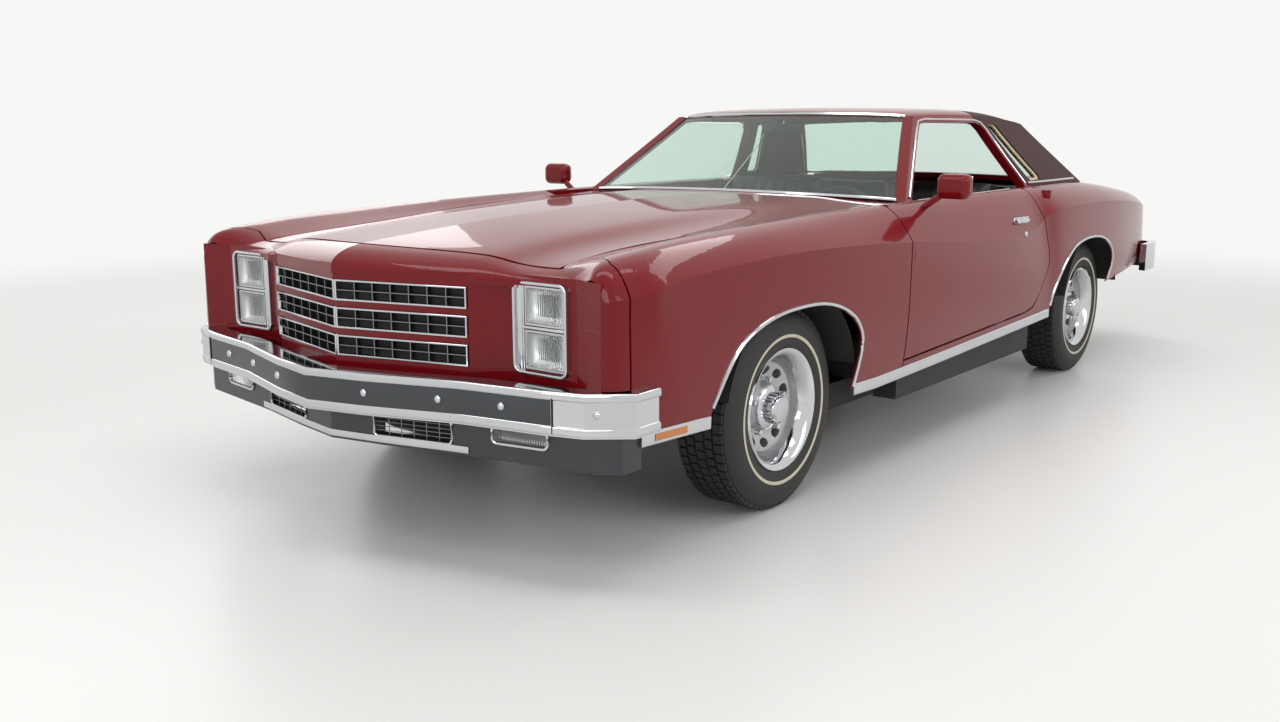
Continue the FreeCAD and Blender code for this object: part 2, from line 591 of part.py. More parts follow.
grille_half = plan_prism(GRILLE_PLAN, GRILLE_LOW, GRILLE_HIGH).cut(nose_half)
node("grille", fused([grille_half, mirrored(grille_half)]))
head_lamp = block(across(LAMP["x0"]), across(LAMP["x1"]), along(-2400), along(-2340), LAMP["z0"], LAMP["z1"])
turn_lamp = block(across(560), across(740), along(-2450), along(-2400), 385, 438)
turn_lamp = turn_lamp.common(plan_prism([(500, -2480), (760, -2452), (760, -2424), (500, -2471)], 300, 500))
node("front_lamps", Part.makeCompound(both_sides(head_lamp).Solids + both_sides(turn_lamp).Solids))
tail_lamp = block(across(640), across(770), along(2560), along(2598), 600, 800)
node("tail_lamps", both_sides(tail_lamp))
REAR_BUMPER = [(0, 2701.5), (500, 2700), (820, 2690), (930, 2640), (950, 2540), (948, 2380)]
rear_inner = [(914, 2380), (910, 2540), (880, 2612), (800, 2640), (500, 2650), (0, 2651)]
rear_beam = plan_prism(REAR_BUMPER + rear_inner, 440, 590).cut(side_shell)
plate_hole = Part.makeCylinder(
    size["plate_hole_radius"], 200, Vector(size["plate_hole_spacing"] / 2, tail_y - 100, 545), Vector(0, 1, 0)
)
rear_beam = rear_beam.cut(plate_hole)
node("rear_bumper", fused([rear_beam, mirrored(rear_beam)]))

# ---------------------------------------------------------------- body tub and chassis
floor_z = size["floor_height"]
floor_top = floor_z + size["floor_thickness"]
TUNNEL_HALF = 150
TUNNEL_TOP = 470
FIREWALL_Y = -790
REAR_PAN_FRONT = 690
rear_pan_top = 505
tub_left = fused([
    block(0, across(860), along(FIREWALL_Y), along(REAR_PAN_FRONT), floor_z, floor_top),
    block(0, across(740), along(REAR_PAN_FRONT), along(REAR_PAN_FRONT + 10), floor_z, rear_pan_top),
    block(0, across(740), along(REAR_PAN_FRONT), along(1040), rear_pan_top - 8, rear_pan_top),
    block(0, across(760), along(FIREWALL_Y), along(FIREWALL_Y + 20), floor_z, 915),
    block(0, TUNNEL_HALF, along(FIREWALL_Y), along(1040), floor_z, TUNNEL_TOP),
    block(across(830), across(925), along(-722), along(630), 240, 392),
    block(across(760), across(920), along(-930), along(FIREWALL_Y + 25), 380, 920),
    block(0, across(740), along(1020), along(1040), rear_pan_top, 560),
    block(0, across(600), along(1020), along(2560), 540, 560),
    block(0, across(600), along(1160), along(1180), 560, 930),
    block(0, across(762), along(1160), along(1500), 925, 945),
    block(across(745), across(765), along(800), along(1500), 320, 960),
    block(across(745), across(930), along(805), along(825), 420, 960),
    block(across(590), across(610), along(1040), along(2560), 480, 560),
])
tub_left = tub_left.cut(block(-10, TUNNEL_HALF - 12, along(FIREWALL_Y) - 5, along(1040) + 5, 0, TUNNEL_TOP - 12))
wheel_tub_outer = Part.makeCylinder(
    size["wheelhouse_radius"], across(940) - across(560), Vector(across(560), 0, 0), Vector(1, 0, 0)
)
wheel_tub_inner = Part.makeCylinder(
    size["wheelhouse_radius"] - size["wheelhouse_wall"], across(960) - across(565),
    Vector(across(565), 0, 0), Vector(1, 0, 0)
)
wheelhouse = wheel_tub_outer.cut(wheel_tub_inner).cut(block(0, 2000, -2000, 2000, -2000, 100))


def wheelhouse_at(y, open_inside=False):
    """A wheelhouse round an axle; one round a steered wheel has no inner wall."""
    shape = wheelhouse.copy()
    if open_inside:
        shape = shape.cut(Part.makeCylinder(size["wheelhouse_radius"] - size["wheelhouse_wall"], 40,
                                            Vector(across(550), 0, 0), Vector(1, 0, 0)))
    shape.translate(Vector(0, y, axle_z))
    return shape.cut(side_shell)


rear_house = wheelhouse_at(rear_axle_y)
# A stay holds the open front wheelhouse to the hinge pillar behind it.
house_stay = block(across(800), across(880), along(-1130), along(-930), 500, 520)
house_stay = house_stay.cut(Part.makeCylinder(size["wheelhouse_radius"] - 2, across(960) - across(700),
                                              Vector(across(700), front_axle_y, axle_z), Vector(1, 0, 0)))
front_house = fused([wheelhouse_at(front_axle_y, open_inside=True), house_stay])
tub_left = tub_left.cut([
    Part.makeCylinder(size["wheelhouse_radius"], 2000, Vector(across(560), rear_axle_y, axle_z), Vector(1, 0, 0)),
    side_shell, glasshouse_half, rocker_left, rear_house,
])
tub_left = fused([tub_left] + door_straps)
tub = node("body_tub", fused([tub_left, mirrored(tub_left)]))
node("wheelhouses", Part.makeCompound(both_sides(front_house).Solids + both_sides(rear_house).Solids))

RAIL_STATIONS = [
    (-2480, 400, 450), (-1950, 400, 400), (-1700, 380, 380), (-1250, 380, 360), (-900, 700, 255),
    (650, 700, 255), (1000, 500, 440), (1700, 500, 480), (2655, 500, 480),
]


def rail_section(y, x, z):
    half = size["rail_width"] / 2
    tall = size["rail_height"] / 2
    corners = [Vector(x - half, along(y), z - tall), Vector(x + half, along(y), z - tall),
               Vector(x + half, along(y), z + tall), Vector(x - half, along(y), z + tall)]
    return Part.makePolygon(corners + corners[:1])


rail = Part.makeLoft([rail_section(*station) for station in RAIL_STATIONS], True, True)
ARM_Y = front_axle_y
chassis_left = fused([
    rail,
    block(0, 390, ARM_Y - 110, ARM_Y + 60, 205, 300),
    block(330, 400, ARM_Y - 110, ARM_Y + 60, 205, 345),
    block(0, 680, along(-260), along(-180), 205, 240),
    block(0, 480, along(1720), along(1790), 440, 520),
    block(0, 400, along(-2440), along(-2380), 420, 480),
])
frame_left = chassis_left.cut([tub_left, front_beam, front_wall, front_house, rear_house, rocker_left,
                               rear_beam, tail_half])
node("frame", fused([frame_left, mirrored(frame_left)]))

# ---------------------------------------------------------------- parametric pieces


def bind(thing, prop, expression):
    """Bind one property to the sheet; plain words in the expression are the sheet's aliases."""
    thing.setExpression(prop, re.sub(r"([a-z][a-z_]+)", r"sizes.\1", expression))


def box_part(name, length, width, height, corner):
    thing = doc.addObject("Part::Box", name)
    bind(thing, "Length", length)
    bind(thing, "Width", width)
    bind(thing, "Height", height)
    thing.Placement.Base = Vector(*corner)
    return thing


def rod_part(name, radius, height, base, direction=(0, 1, 0)):
    thing = doc.addObject("Part::Cylinder", name)
    bind(thing, "Radius", radius)
    bind(thing, "Height", height)
    thing.Placement = FreeCAD.Placement(Vector(*base), Rotation(Vector(0, 0, 1), Vector(*direction)))
    return thing


def joined(label, parts):
    """A named sub-part made of primitives joined together."""
    if len(parts) == 1:
        parts[0].Label = label
        nodes.append(parts[0])
        return parts[0]
    thing = doc.addObject("Part::MultiFuse", label)
    thing.Label = label
    thing.Shapes = parts
    nodes.append(thing)
    return thing


ENGINE_FRONT = front_axle_y - 180
ENGINE_LOW = 330
engine_rear = ENGINE_FRONT + size["engine_length"]
box = box_part("engine_block", "engine_width", "engine_length", "engine_height",
               (-size["engine_width"] / 2, ENGINE_FRONT, ENGINE_LOW))
joined("engine", [box])
GEARBOX_Z = 330
PINION_FRONT = rear_axle_y - size["differential_radius"] - 60
gearbox_front = engine_rear
shaft_front = gearbox_front + size["gearbox_length"]
gearbox = rod_part("gearbox_case", "gearbox_radius", "gearbox_length", (0, gearbox_front, GEARBOX_Z + 10))
propshaft = doc.addObject("Part::Cylinder", "propshaft_tube")
bind(propshaft, "Radius", "propshaft_radius")
shaft_start = Vector(0, shaft_front - 20, GEARBOX_Z + 10)
shaft_end = Vector(0, rear_axle_y - size["differential_radius"] - 0.5, axle_z)
propshaft.Height = (shaft_end - shaft_start).Length
propshaft.Placement = FreeCAD.Placement(shaft_start, Rotation(Vector(0, 0, 1), shaft_end - shaft_start))
joined("driveline", [gearbox, propshaft])

rear_hub_x = size["rear_track"] / 2 - 36
tube = rod_part("axle_tube", "axle_tube_radius", "rear_track - 72", (-rear_hub_x, rear_axle_y, axle_z), (1, 0, 0))
half_shafts = rod_part("half_shafts", "hub_bore - 0.1", "rear_track + 40",
                       (-size["rear_track"] / 2 - 20, rear_axle_y, axle_z), (1, 0, 0))
differential = rod_part("differential", "differential_radius", "differential_width",
                        (-size["differential_width"] / 2, rear_axle_y, axle_z), (1, 0, 0))
rear_parts = [tube, half_shafts, differential]
for side in (-1, 1):
    arm_start = Vector(side * 420, rear_axle_y - 10, axle_z - 30)
    arm_end = Vector(side * 520, along(1010), 420)
    arm = doc.addObject("Part::Cylinder", "trailing_arm")
    arm.Radius = 20
    arm.Height = (arm_end - arm_start).Length
    arm.Placement = FreeCAD.Placement(arm_start, Rotation(Vector(0, 0, 1), arm_end - arm_start))
    spring = doc.addObject("Part::Cylinder", "rear_spring")
    spring.Radius = 55
    spring.Height = 430 - axle_z - 0
    spring.Placement.Base = Vector(side * 500, rear_axle_y, axle_z)
    rear_parts += [arm, spring]
rear_axle = doc.addObject("Part::MultiFuse", "rear_axle_whole")
rear_axle.Shapes = rear_parts
frame_tool = doc.getObject("frame")
rear_cut = doc.addObject("Part::Cut", "rear_axle")
rear_cut.Base = rear_axle
rear_cut.Tool = frame_tool
nodes.append(rear_cut)

# Front suspension: an upper and a lower arm each side, narrow near the ball joints.
KINGPIN_X = size["front_track"] / 2 - size["kingpin_inset"]
HUB_BORE = size["hub_bore"]
STUD_RADIUS = 9
RUNNING_GAP = 0.1
EYE_GAP = 0.8
LOWER_BALL_Z = 225
UPPER_BALL_Z = 452


def wishbone(inner_x, inner_z, ball_z, spread, height):
    """A flat triangular arm from the chassis to the ball joint."""
    tip = KINGPIN_X + 18
    outline = [(inner_x, front_axle_y - spread), (tip, front_axle_y - 24), (tip, front_axle_y + 24),
               (inner_x, front_axle_y + spread)]
    points = [Vector(x, y, inner_z if x == inner_x else ball_z) for x, y in outline]
    eye = Part.makeCylinder(STUD_RADIUS + EYE_GAP, 400, Vector(KINGPIN_X, front_axle_y, 150))
    return polygon(points).extrude(Vector(0, 0, height)).cut(eye)


lower_arm = wishbone(385, 225, LOWER_BALL_Z - 12, 120, 24)
upper_arm = wishbone(415, 400, UPPER_BALL_Z - 10, 90, 20)
front_spring = Part.makeCylinder(50, 170, Vector(470, front_axle_y, 240))
spring_tower = block(390, 520, front_axle_y - 70, front_axle_y + 70, 410, 440)
front_suspension = fused([lower_arm, front_spring, spring_tower, upper_arm]).cut([frame_left, front_house])
node("front_suspension", both_sides(front_suspension))


def knuckle_shape():
    """Upright, ball joints, spindle and steering arm of the left wheel."""
    upright = block(KINGPIN_X - 22, KINGPIN_X + 12, front_axle_y - 26, front_axle_y + 26,
                    LOWER_BALL_Z + 18, UPPER_BALL_Z - 28)
    spindle = bar(Vector(KINGPIN_X - 10, front_axle_y, axle_z),
                  Vector(size["front_track"] / 2 + 20, front_axle_y, axle_z), HUB_BORE - RUNNING_GAP)
    studs = bar(Vector(KINGPIN_X, front_axle_y, LOWER_BALL_Z - 10), Vector(KINGPIN_X, front_axle_y, UPPER_BALL_Z + 8),
                STUD_RADIUS)
    steering_arm = block(KINGPIN_X - 22, KINGPIN_X - 6, front_axle_y, front_axle_y + 140,
                         LOWER_BALL_Z + 25, LOWER_BALL_Z + 49)
    return fused([upright, spindle, studs, steering_arm])


knuckle = knuckle_shape()
node("knuckle_left", knuckle)
node("knuckle_right", mirrored(knuckle))

# ---------------------------------------------------------------- wheels and tyres

def revolved(label, outline):
    """A body turned about its own X axis from an outline of (along axle, radius) pairs."""
    body = doc.addObject("PartDesign::Body", label)
    body.Label = label
    planes = [plane for plane in body.Origin.OriginFeatures if plane.Role == "XY_Plane"]
    sketch = body.newObject("Sketcher::SketchObject", label + "_outline")
    sketch.AttachmentSupport = [(planes[0], "")]
    sketch.MapMode = "FlatFace"
    for start, end in zip(outline, outline[1:] + outline[:1]):
        sketch.addGeometry(Part.LineSegment(Vector(*start, 0), Vector(*end, 0)), False)
    turn = body.newObject("PartDesign::Revolution", label + "_turn")
    turn.Profile = sketch
    turn.ReferenceAxis = (sketch, ["H_Axis"])
    turn.Angle = 360
    body.Tip = turn
    return body


half_tyre = size["tyre_width"] / 2
tyre_r = size["tyre_radius"]
rim_r = size["rim_radius"]
bead = size["rim_width"] / 2
TREAD_HALF = 82
SIDEWALL_R = 262
tyre_outline = [
    (-bead, rim_r), (-bead - 7, rim_r + 10), (-bead - 12, rim_r + 10), (-half_tyre + 2, SIDEWALL_R - 22), (-half_tyre, SIDEWALL_R),
    (-half_tyre + 4, SIDEWALL_R + 25), (-half_tyre + 14, tyre_r - 22), (-TREAD_HALF, tyre_r - 4),
    (-TREAD_HALF + 20, tyre_r), (TREAD_HALF - 20, tyre_r), (TREAD_HALF, tyre_r - 4),
    (half_tyre - 14, tyre_r - 22), (half_tyre - 4, SIDEWALL_R + 25), (half_tyre, SIDEWALL_R),
    (half_tyre - 2, SIDEWALL_R - 22), (bead + 12, rim_r + 10), (bead + 7, rim_r + 10), (bead, rim_r),
]
# Outline of the wheel, with +x outboard: barrel, dished disc and hub with its brake.
wheel_outline = [
    (-bead - 12, rim_r + 10), (-bead - 12, rim_r - 6), (0, rim_r - 22), (14, 150), (2, 110), (0, 72), (-26, 72),
    (-26, HUB_BORE), (52, HUB_BORE), (52, 70), (18, 84), (26, 120), (34, 152), (46, rim_r - 20), (bead + 12, rim_r - 6),
    (bead + 12, rim_r + 10), (bead + 7, rim_r + 10), (bead, rim_r), (-bead, rim_r), (-bead - 7, rim_r + 10),
]

for end, track, axle_y in (("front", size["front_track"], front_axle_y), ("rear", size["rear_track"], rear_axle_y)):
    for side, sign in (("left", 1), ("right", -1)):
        turn = Rotation(Vector(0, 0, 1), 0 if sign == 1 else 180)
        place = FreeCAD.Placement(Vector(sign * track / 2, axle_y, axle_z), turn)
        tyre = revolved(f"tyre_{end}_{side}", tyre_outline)
        tyre.Placement = place
        wheel = revolved(f"wheel_{end}_{side}", wheel_outline)
        wheel.Placement = place
        nodes.extend([tyre, wheel])

# ---------------------------------------------------------------- exhaust and tank
exhaust_x = 300
muffler_y = along(900)
pipe_r = size["exhaust_radius"]
exhaust_path = [
    Vector(300, engine_rear - 200, ENGINE_LOW + 10), Vector(300, engine_rear + 60, 262),
    Vector(exhaust_x, muffler_y + 10, 240),
]
pipe = fused([bar(a, b, pipe_r) for a, b in zip(exhaust_path, exhaust_path[1:])]
             + [Part.makeSphere(pipe_r, exhaust_path[1])])
muffler = Part.makeCylinder(size["muffler_radius"] * 0.75, size["muffler_length"] * 0.55,
                            Vector(exhaust_x, along(560), 225), Vector(0, 1, 0))
hanger = block(exhaust_x - 8, exhaust_x + 8, along(700), along(716), 240, floor_z)
tank_y = along(2010)
tank = box_part("tank_shell", "tank_width", "tank_length", "tank_height",
                (-size["tank_width"] / 2, tank_y - size["tank_length"] / 2 + 130, 540 - size["tank_height"]))
joined("fuel_tank", [tank])
exhaust = fused([pipe, muffler, hanger])
node("exhaust", exhaust.cut([frame_left, tub]))

# ---------------------------------------------------------------- cabin
SEAT_X = 445
SEAT_FRONT_Y = along(-20)
CUSHION_BASE = floor_top + 45
cushion_top = CUSHION_BASE + size["seat_cushion_height"]
SEAT_LEAN = 14


def cushion(name, width, depth, height, corner, lean=0):
    thing = box_part(name, width, depth, height, corner)
    thing.Placement = FreeCAD.Placement(Vector(*corner), Rotation(Vector(1, 0, 0), -lean))
    return thing


def seat_pair(label, width, half_width, centres, front_y, back_height):
    """Cushion, leaning back and mounting base for each seat."""
    parts = []
    for centre in centres:
        left = centre - half_width
        back_y = front_y + size["seat_cushion_depth"] - 40
        parts.append(cushion("cushion", width, "seat_cushion_depth", "seat_cushion_height",
                             (left, front_y, CUSHION_BASE)))
        parts.append(cushion("seat_back", width, "seat_back_thickness", back_height,
                             (left, back_y, cushion_top - 60), SEAT_LEAN))
        base = box_part("seat_base", width + " * 0.6", "seat_cushion_depth * 0.7", "seat_cushion_height * 0.24",
                        (centre - half_width * 0.6, front_y + 60, floor_top))
        parts.append(base)
    return joined(label, parts)


half_seat = size["seat_width"] / 2
front_seats = seat_pair("front_seats", "seat_width", half_seat, (-SEAT_X, SEAT_X), SEAT_FRONT_Y,
                        "seat_back_height")
REAR_SEAT_Y = along(700)
rear_cushion = cushion("rear_cushion", "rear_seat_width", "seat_cushion_depth * 0.6", "seat_cushion_height * 0.7",
                       (-size["rear_seat_width"] / 2, REAR_SEAT_Y, rear_pan_top))
rear_back = cushion("rear_back", "rear_seat_width", "seat_back_thickness * 0.8", "seat_back_height * 0.9",
                    (-size["rear_seat_width"] / 2, along(1020) - 190, rear_pan_top + 30), 12)
joined("rear_seat", [rear_cushion, rear_back])

DASH_TOP = 940
dash_outline = [(FIREWALL_Y + 20, 640), (FIREWALL_Y + 20, 890), (-610, 908), (-500, DASH_TOP), (-400, DASH_TOP), (-370, 880),
                (-400, 760), (-480, 650)]
dash_half = side_prism(dash_outline, 0, 755).cut([tub_left, screen_half, roof_left, cowl_left])
dash_half = dash_half.common(plan_prism([(0, -900), (900, -900), (900, -380), (560, -385), (0, -400)]))
dash = node("dashboard", fused([dash_half, mirrored(dash_half)]))

# The steering column leans back from the firewall to the wheel's hub.
DRIVER_X = 400
COLUMN_FOOT = Vector(DRIVER_X, along(-740), 600)
WHEEL_HUB = Vector(DRIVER_X, along(-190), 800)
column_axis = (WHEEL_HUB - COLUMN_FOOT).normalize()
column_length = (WHEEL_HUB - COLUMN_FOOT).Length - 20.4
column = Part.makeCylinder(size["column_radius"], column_length, COLUMN_FOOT, column_axis)
node("steering_column", column.cut([dash, tub]))
column_turn = Rotation(Vector(0, 0, 1), column_axis)
rim_ring = doc.addObject("Part::Torus", "wheel_rim")
bind(rim_ring, "Radius1", "steering_wheel_radius")
bind(rim_ring, "Radius2", "steering_rim_radius")
rim_ring.Placement = FreeCAD.Placement(WHEEL_HUB + column_axis * 20, column_turn)
hub_disc = doc.addObject("Part::Cylinder", "wheel_hub")
hub_disc.Radius = 45
hub_disc.Height = 40
hub_disc.Placement = FreeCAD.Placement(WHEEL_HUB - column_axis * 20, column_turn)
spokes = []
for angle in (-10, 190):
    spoke = doc.addObject("Part::Box", "spoke")
    bind(spoke, "Length", "steering_wheel_radius")
    spoke.Width = 40
    spoke.Height = 10
    swing = FreeCAD.Placement(Vector(0, 0, 15), Rotation(Vector(0, 0, 1), angle))
    centred = FreeCAD.Placement(Vector(0, -20, 0), Rotation())
    spoke.Placement = FreeCAD.Placement(WHEEL_HUB, column_turn) * swing * centred
    spokes.append(spoke)
joined("steering_wheel", [rim_ring, hub_disc] + spokes)

MIRROR = at(1004, -452, 1030)
mirror_head = block(MIRROR.x - 65, MIRROR.x + 65, MIRROR.y - 38, MIRROR.y + 34, MIRROR.z - 48, MIRROR.z + 48)
mirror_head = mirror_head.makeFillet(28, mirror_head.Edges)
mirror_arm = bar(at(890, -470, 950), MIRROR, 13)
mirror = max(fused([mirror_head, mirror_arm]).cut(door_left).Solids, key=lambda solid: solid.Volume)
node("mirror_left", mirror)
node("mirror_right", mirrored(mirror))

# ---------------------------------------------------------------- checks and files
doc.recompute()
for thing in doc.Objects:
    if "Invalid" in thing.State or "Error" in thing.State:
        raise SystemExit(f"{thing.Label} could not be built: {thing.State}")
for thing in nodes:
    if thing.Shape.isNull() or not thing.Shape.isValid():
        raise SystemExit(f"{thing.Label} has no valid shape")

os.makedirs("parts", exist_ok=True)
for thing in nodes:
    thing.Shape.exportStep(f"parts/{thing.Label}.step")
    print(thing.Label, len(thing.Shape.Solids), round(thing.Shape.Volume / 1e6, 3))
print(f"{len(nodes)} sub-parts")
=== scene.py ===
# %% [markdown]
# A two-door hardtop coupe of the mid-1970s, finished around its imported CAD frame.
# The frame gives every panel, wheel and seat at its real place in metres.  This file
# adds the finishes, the bright trim, the lamps, the grille, the wheels and the cabin.

# %% Load the frame
from math import atan2, cos, pi, radians, sin

import bpy
from mathutils import Matrix, Vector
from mathutils.bvhtree import BVHTree


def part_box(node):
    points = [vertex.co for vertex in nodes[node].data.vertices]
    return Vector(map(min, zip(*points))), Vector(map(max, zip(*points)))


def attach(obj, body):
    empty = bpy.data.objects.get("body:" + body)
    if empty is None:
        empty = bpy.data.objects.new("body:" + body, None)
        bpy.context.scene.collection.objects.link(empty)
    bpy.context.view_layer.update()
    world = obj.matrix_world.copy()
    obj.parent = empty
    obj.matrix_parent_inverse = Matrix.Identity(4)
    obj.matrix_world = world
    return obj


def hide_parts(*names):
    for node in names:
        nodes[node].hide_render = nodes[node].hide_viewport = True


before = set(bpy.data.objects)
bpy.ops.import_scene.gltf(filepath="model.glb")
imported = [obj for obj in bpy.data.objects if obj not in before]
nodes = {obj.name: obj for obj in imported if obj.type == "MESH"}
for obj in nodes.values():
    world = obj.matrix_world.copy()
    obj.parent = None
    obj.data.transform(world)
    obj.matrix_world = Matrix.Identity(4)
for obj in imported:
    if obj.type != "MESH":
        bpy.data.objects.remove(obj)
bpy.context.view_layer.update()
AXLE_Z = sum(c[2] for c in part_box("wheel_front_left")) / 2
SIDES = (("left", 1), ("right", -1))
print("nodes", len(nodes), "axle height", round(AXLE_Z, 3))

# %% [markdown]
# The camera stands at the front left corner at eye height, and looks slightly down.
# A floor, a backdrop colour and a few large soft lamps make a plain pale studio.

# %% Camera, floor and light
scene = bpy.context.scene
scene.view_settings.view_transform = "Standard"


CAMERA_PLACE = (2.906, -4.845, 1.259)
LOOK_DOWN = 11.026
LOOK_ASIDE = 37.856
BACKDROP = (0.93, 0.93, 0.92, 1)
WORLD_LIGHT = (1, 0.99, 0.97, 1)
WORLD_STRENGTH = 0.62
FADE_START, FADE_END = 3.2, 9.0


def add_camera():
    turn = (radians(90 - LOOK_DOWN), 0, radians(LOOK_ASIDE))
    bpy.ops.object.camera_add(location=CAMERA_PLACE, rotation=turn)
    camera = bpy.context.object
    camera.data.sensor_width = 36
    camera.data.lens = 34.09
    scene.camera = camera


def add_lamp(name, place, aim, size, power):
    bpy.ops.object.light_add(type="AREA", location=place)
    lamp = bpy.context.object
    lamp.name = name
    lamp.data.shape = "RECTANGLE"
    lamp.data.size = size[0]
    lamp.data.size_y = size[1]
    lamp.data.energy = power
    direction = Vector(aim) - Vector(place)
    lamp.rotation_euler = direction.to_track_quat("-Z", "Y").to_euler()


add_camera()
add_lamp("ceiling_lamp_front", (0.6, -2.6, 4.2), (0, -1.6, 0.6), (5.0, 1.1), 60)
add_lamp("ceiling_lamp_rear", (0.4, 1.8, 4.2), (0, 1.2, 0.6), (5.0, 1.1), 52)
add_lamp("side_lamp_left", (5.6, -0.6, 2.6), (0.5, -0.2, 0.6), (6.0, 1.6), 75)
add_lamp("side_lamp_right", (-5.6, 0.2, 2.8), (-0.5, 0.2, 0.6), (6.0, 1.6), 48)
add_lamp("nose_lamp", (1.2, -7.0, 2.4), (0, -2.4, 0.6), (4.0, 1.4), 55)


def feed(tree, node, inputs):
    """Sets each input of a node, by name or number, to a value, or links an output to it."""
    for key, value in inputs.items():
        if isinstance(value, bpy.types.NodeSocket):
            tree.links.new(value, node.inputs[key])
        else:
            node.inputs[key].default_value = value


def add_node(tree, kind, inputs=None, **settings):
    """Adds a shader node, then its settings, then its inputs."""
    node = tree.nodes.new("ShaderNode" + kind)
    for key, value in settings.items():
        setattr(node, key, value)
    feed(tree, node, inputs or {})
    return node


def seen_ray(tree):
    """A factor of 1 where the camera, a mirror or glass looks, so the background stays pale."""
    path = add_node(tree, "LightPath")
    first = add_node(tree, "Math", {0: path.outputs["Is Camera Ray"], 1: path.outputs["Is Glossy Ray"]},
                     operation="MAXIMUM")
    second = add_node(tree, "Math", {0: first.outputs[0], 1: path.outputs["Is Transmission Ray"]},
                      operation="MAXIMUM")
    return second.outputs[0]


def build_world():
    scene.world = bpy.data.worlds.new("studio")
    scene.world.use_nodes = True
    tree = scene.world.node_tree
    tree.nodes.clear()
    dim = add_node(tree, "Background", {"Color": WORLD_LIGHT, "Strength": WORLD_STRENGTH})
    pale = add_node(tree, "Background", {"Color": BACKDROP})
    mix = add_node(tree, "MixShader", {0: seen_ray(tree), 1: dim.outputs[0], 2: pale.outputs[0]})
    add_node(tree, "OutputWorld", {"Surface": mix.outputs[0]})


def fade_to_backdrop(tree, shader):
    """Turns the floor into the plain backdrop colour a few metres out, where no shadow falls."""
    place = add_node(tree, "TexCoord")
    length = add_node(tree, "VectorMath", {0: place.outputs["Object"]}, operation="LENGTH")
    span = add_node(tree, "MapRange", {"Value": length.outputs["Value"], "From Min": FADE_START,
                                       "From Max": FADE_END}, interpolation_type="SMOOTHSTEP")
    both = add_node(tree, "Math", {0: span.outputs["Result"], 1: seen_ray(tree)}, operation="MULTIPLY")
    glow = add_node(tree, "Emission", {"Color": BACKDROP})
    mix = add_node(tree, "MixShader", {0: both.outputs[0], 1: shader.outputs[0], 2: glow.outputs[0]})
    feed(tree, tree.nodes["Material Output"], {"Surface": mix.outputs[0]})


def new_material(name, inputs):
    """A material with some inputs of its principled shader set."""
    material = bpy.data.materials.new(name)
    material.use_nodes = True
    feed(material.node_tree, material.node_tree.nodes["Principled BSDF"], inputs)
    return material


def build_floor():
    bpy.ops.mesh.primitive_plane_add(size=90, location=(0, 0, -0.001))
    floor = bpy.context.object
    floor.name = "studio_floor"
    material = new_material("studio_floor", {"Base Color": (0.80, 0.80, 0.79, 1), "Roughness": 0.35})
    fade_to_backdrop(material.node_tree, material.node_tree.nodes["Principled BSDF"])
    floor.data.materials.append(material)


build_world()
build_floor()

# %% [markdown]
# Two effects are shared by many finishes, so each is a node group.  The first is fine
# grain, which gives vinyl, rubber and plastic their bump.  The second is slow colour
# variation, so that no surface is one flat colour.

# %% Shared node groups


def new_group(name, inputs, outputs):
    """A node group whose inputs and outputs are given as name, kind and, for inputs, value."""
    group = bpy.data.node_groups.new(name, "ShaderNodeTree")
    for label, kind, value in inputs:
        socket = group.interface.new_socket(name=label, in_out="INPUT", socket_type="NodeSocket" + kind)
        socket.default_value = value
    for label, kind in outputs:
        group.interface.new_socket(name=label, in_out="OUTPUT", socket_type="NodeSocket" + kind)
    return group, group.nodes.new("NodeGroupInput"), group.nodes.new("NodeGroupOutput")


def build_grain():
    group, start, end = new_group("grain", [("Scale", "Float", 400.0), ("Depth", "Float", 0.2)],
                                  [("Normal", "Vector")])
    place = add_node(group, "TexCoord").outputs["Object"]
    scale = start.outputs["Scale"]
    cells = add_node(group, "TexVoronoi", {"Vector": place, "Scale": scale}, feature="DISTANCE_TO_EDGE")
    fine = add_node(group, "TexNoise", {"Vector": place, "Scale": scale})
    total = add_node(group, "Math", {0: cells.outputs["Distance"], 1: fine.outputs["Fac"]})
    bump = add_node(group, "Bump", {"Distance": 0.002, "Height": total.outputs[0],
                                    "Strength": start.outputs["Depth"]})
    feed(group, end, {"Normal": bump.outputs["Normal"]})
    return group


def build_variation():
    group, start, end = new_group(
        "slow_variation",
        [("Colour", "Color", (0.5, 0.5, 0.5, 1)), ("Second", "Color", (0.4, 0.4, 0.4, 1)),
         ("Scale", "Float", 6.0), ("Low", "Float", 0.3), ("High", "Float", 0.4)],
        [("Colour", "Color"), ("Roughness", "Float")])
    place = add_node(group, "TexCoord").outputs["Object"]
    noise = add_node(group, "TexNoise", {"Detail": 4, "Vector": place, "Scale": start.outputs["Scale"]})
    factor = noise.outputs["Fac"]
    mix = add_node(group, "Mix", data_type="RGBA")
    feed(group, mix, {"Factor": factor, "A": start.outputs["Colour"], "B": start.outputs["Second"]})
    span = add_node(group, "MapRange", {"Value": factor, "To Min": start.outputs["Low"],
                                        "To Max": start.outputs["High"]})
    feed(group, end, {"Colour": mix.outputs["Result"], "Roughness": span.outputs["Result"]})
    return group


GRAIN = build_grain()
VARIATION = build_variation()

# %% [markdown]
# Each finish is a principled shader fed by the two groups: a colour and a second one close
# to it, a range of roughness, and what the surface needs of metal, grain and clear coat.

# %% Finishes
COAT_ROUGHNESS = 0.03


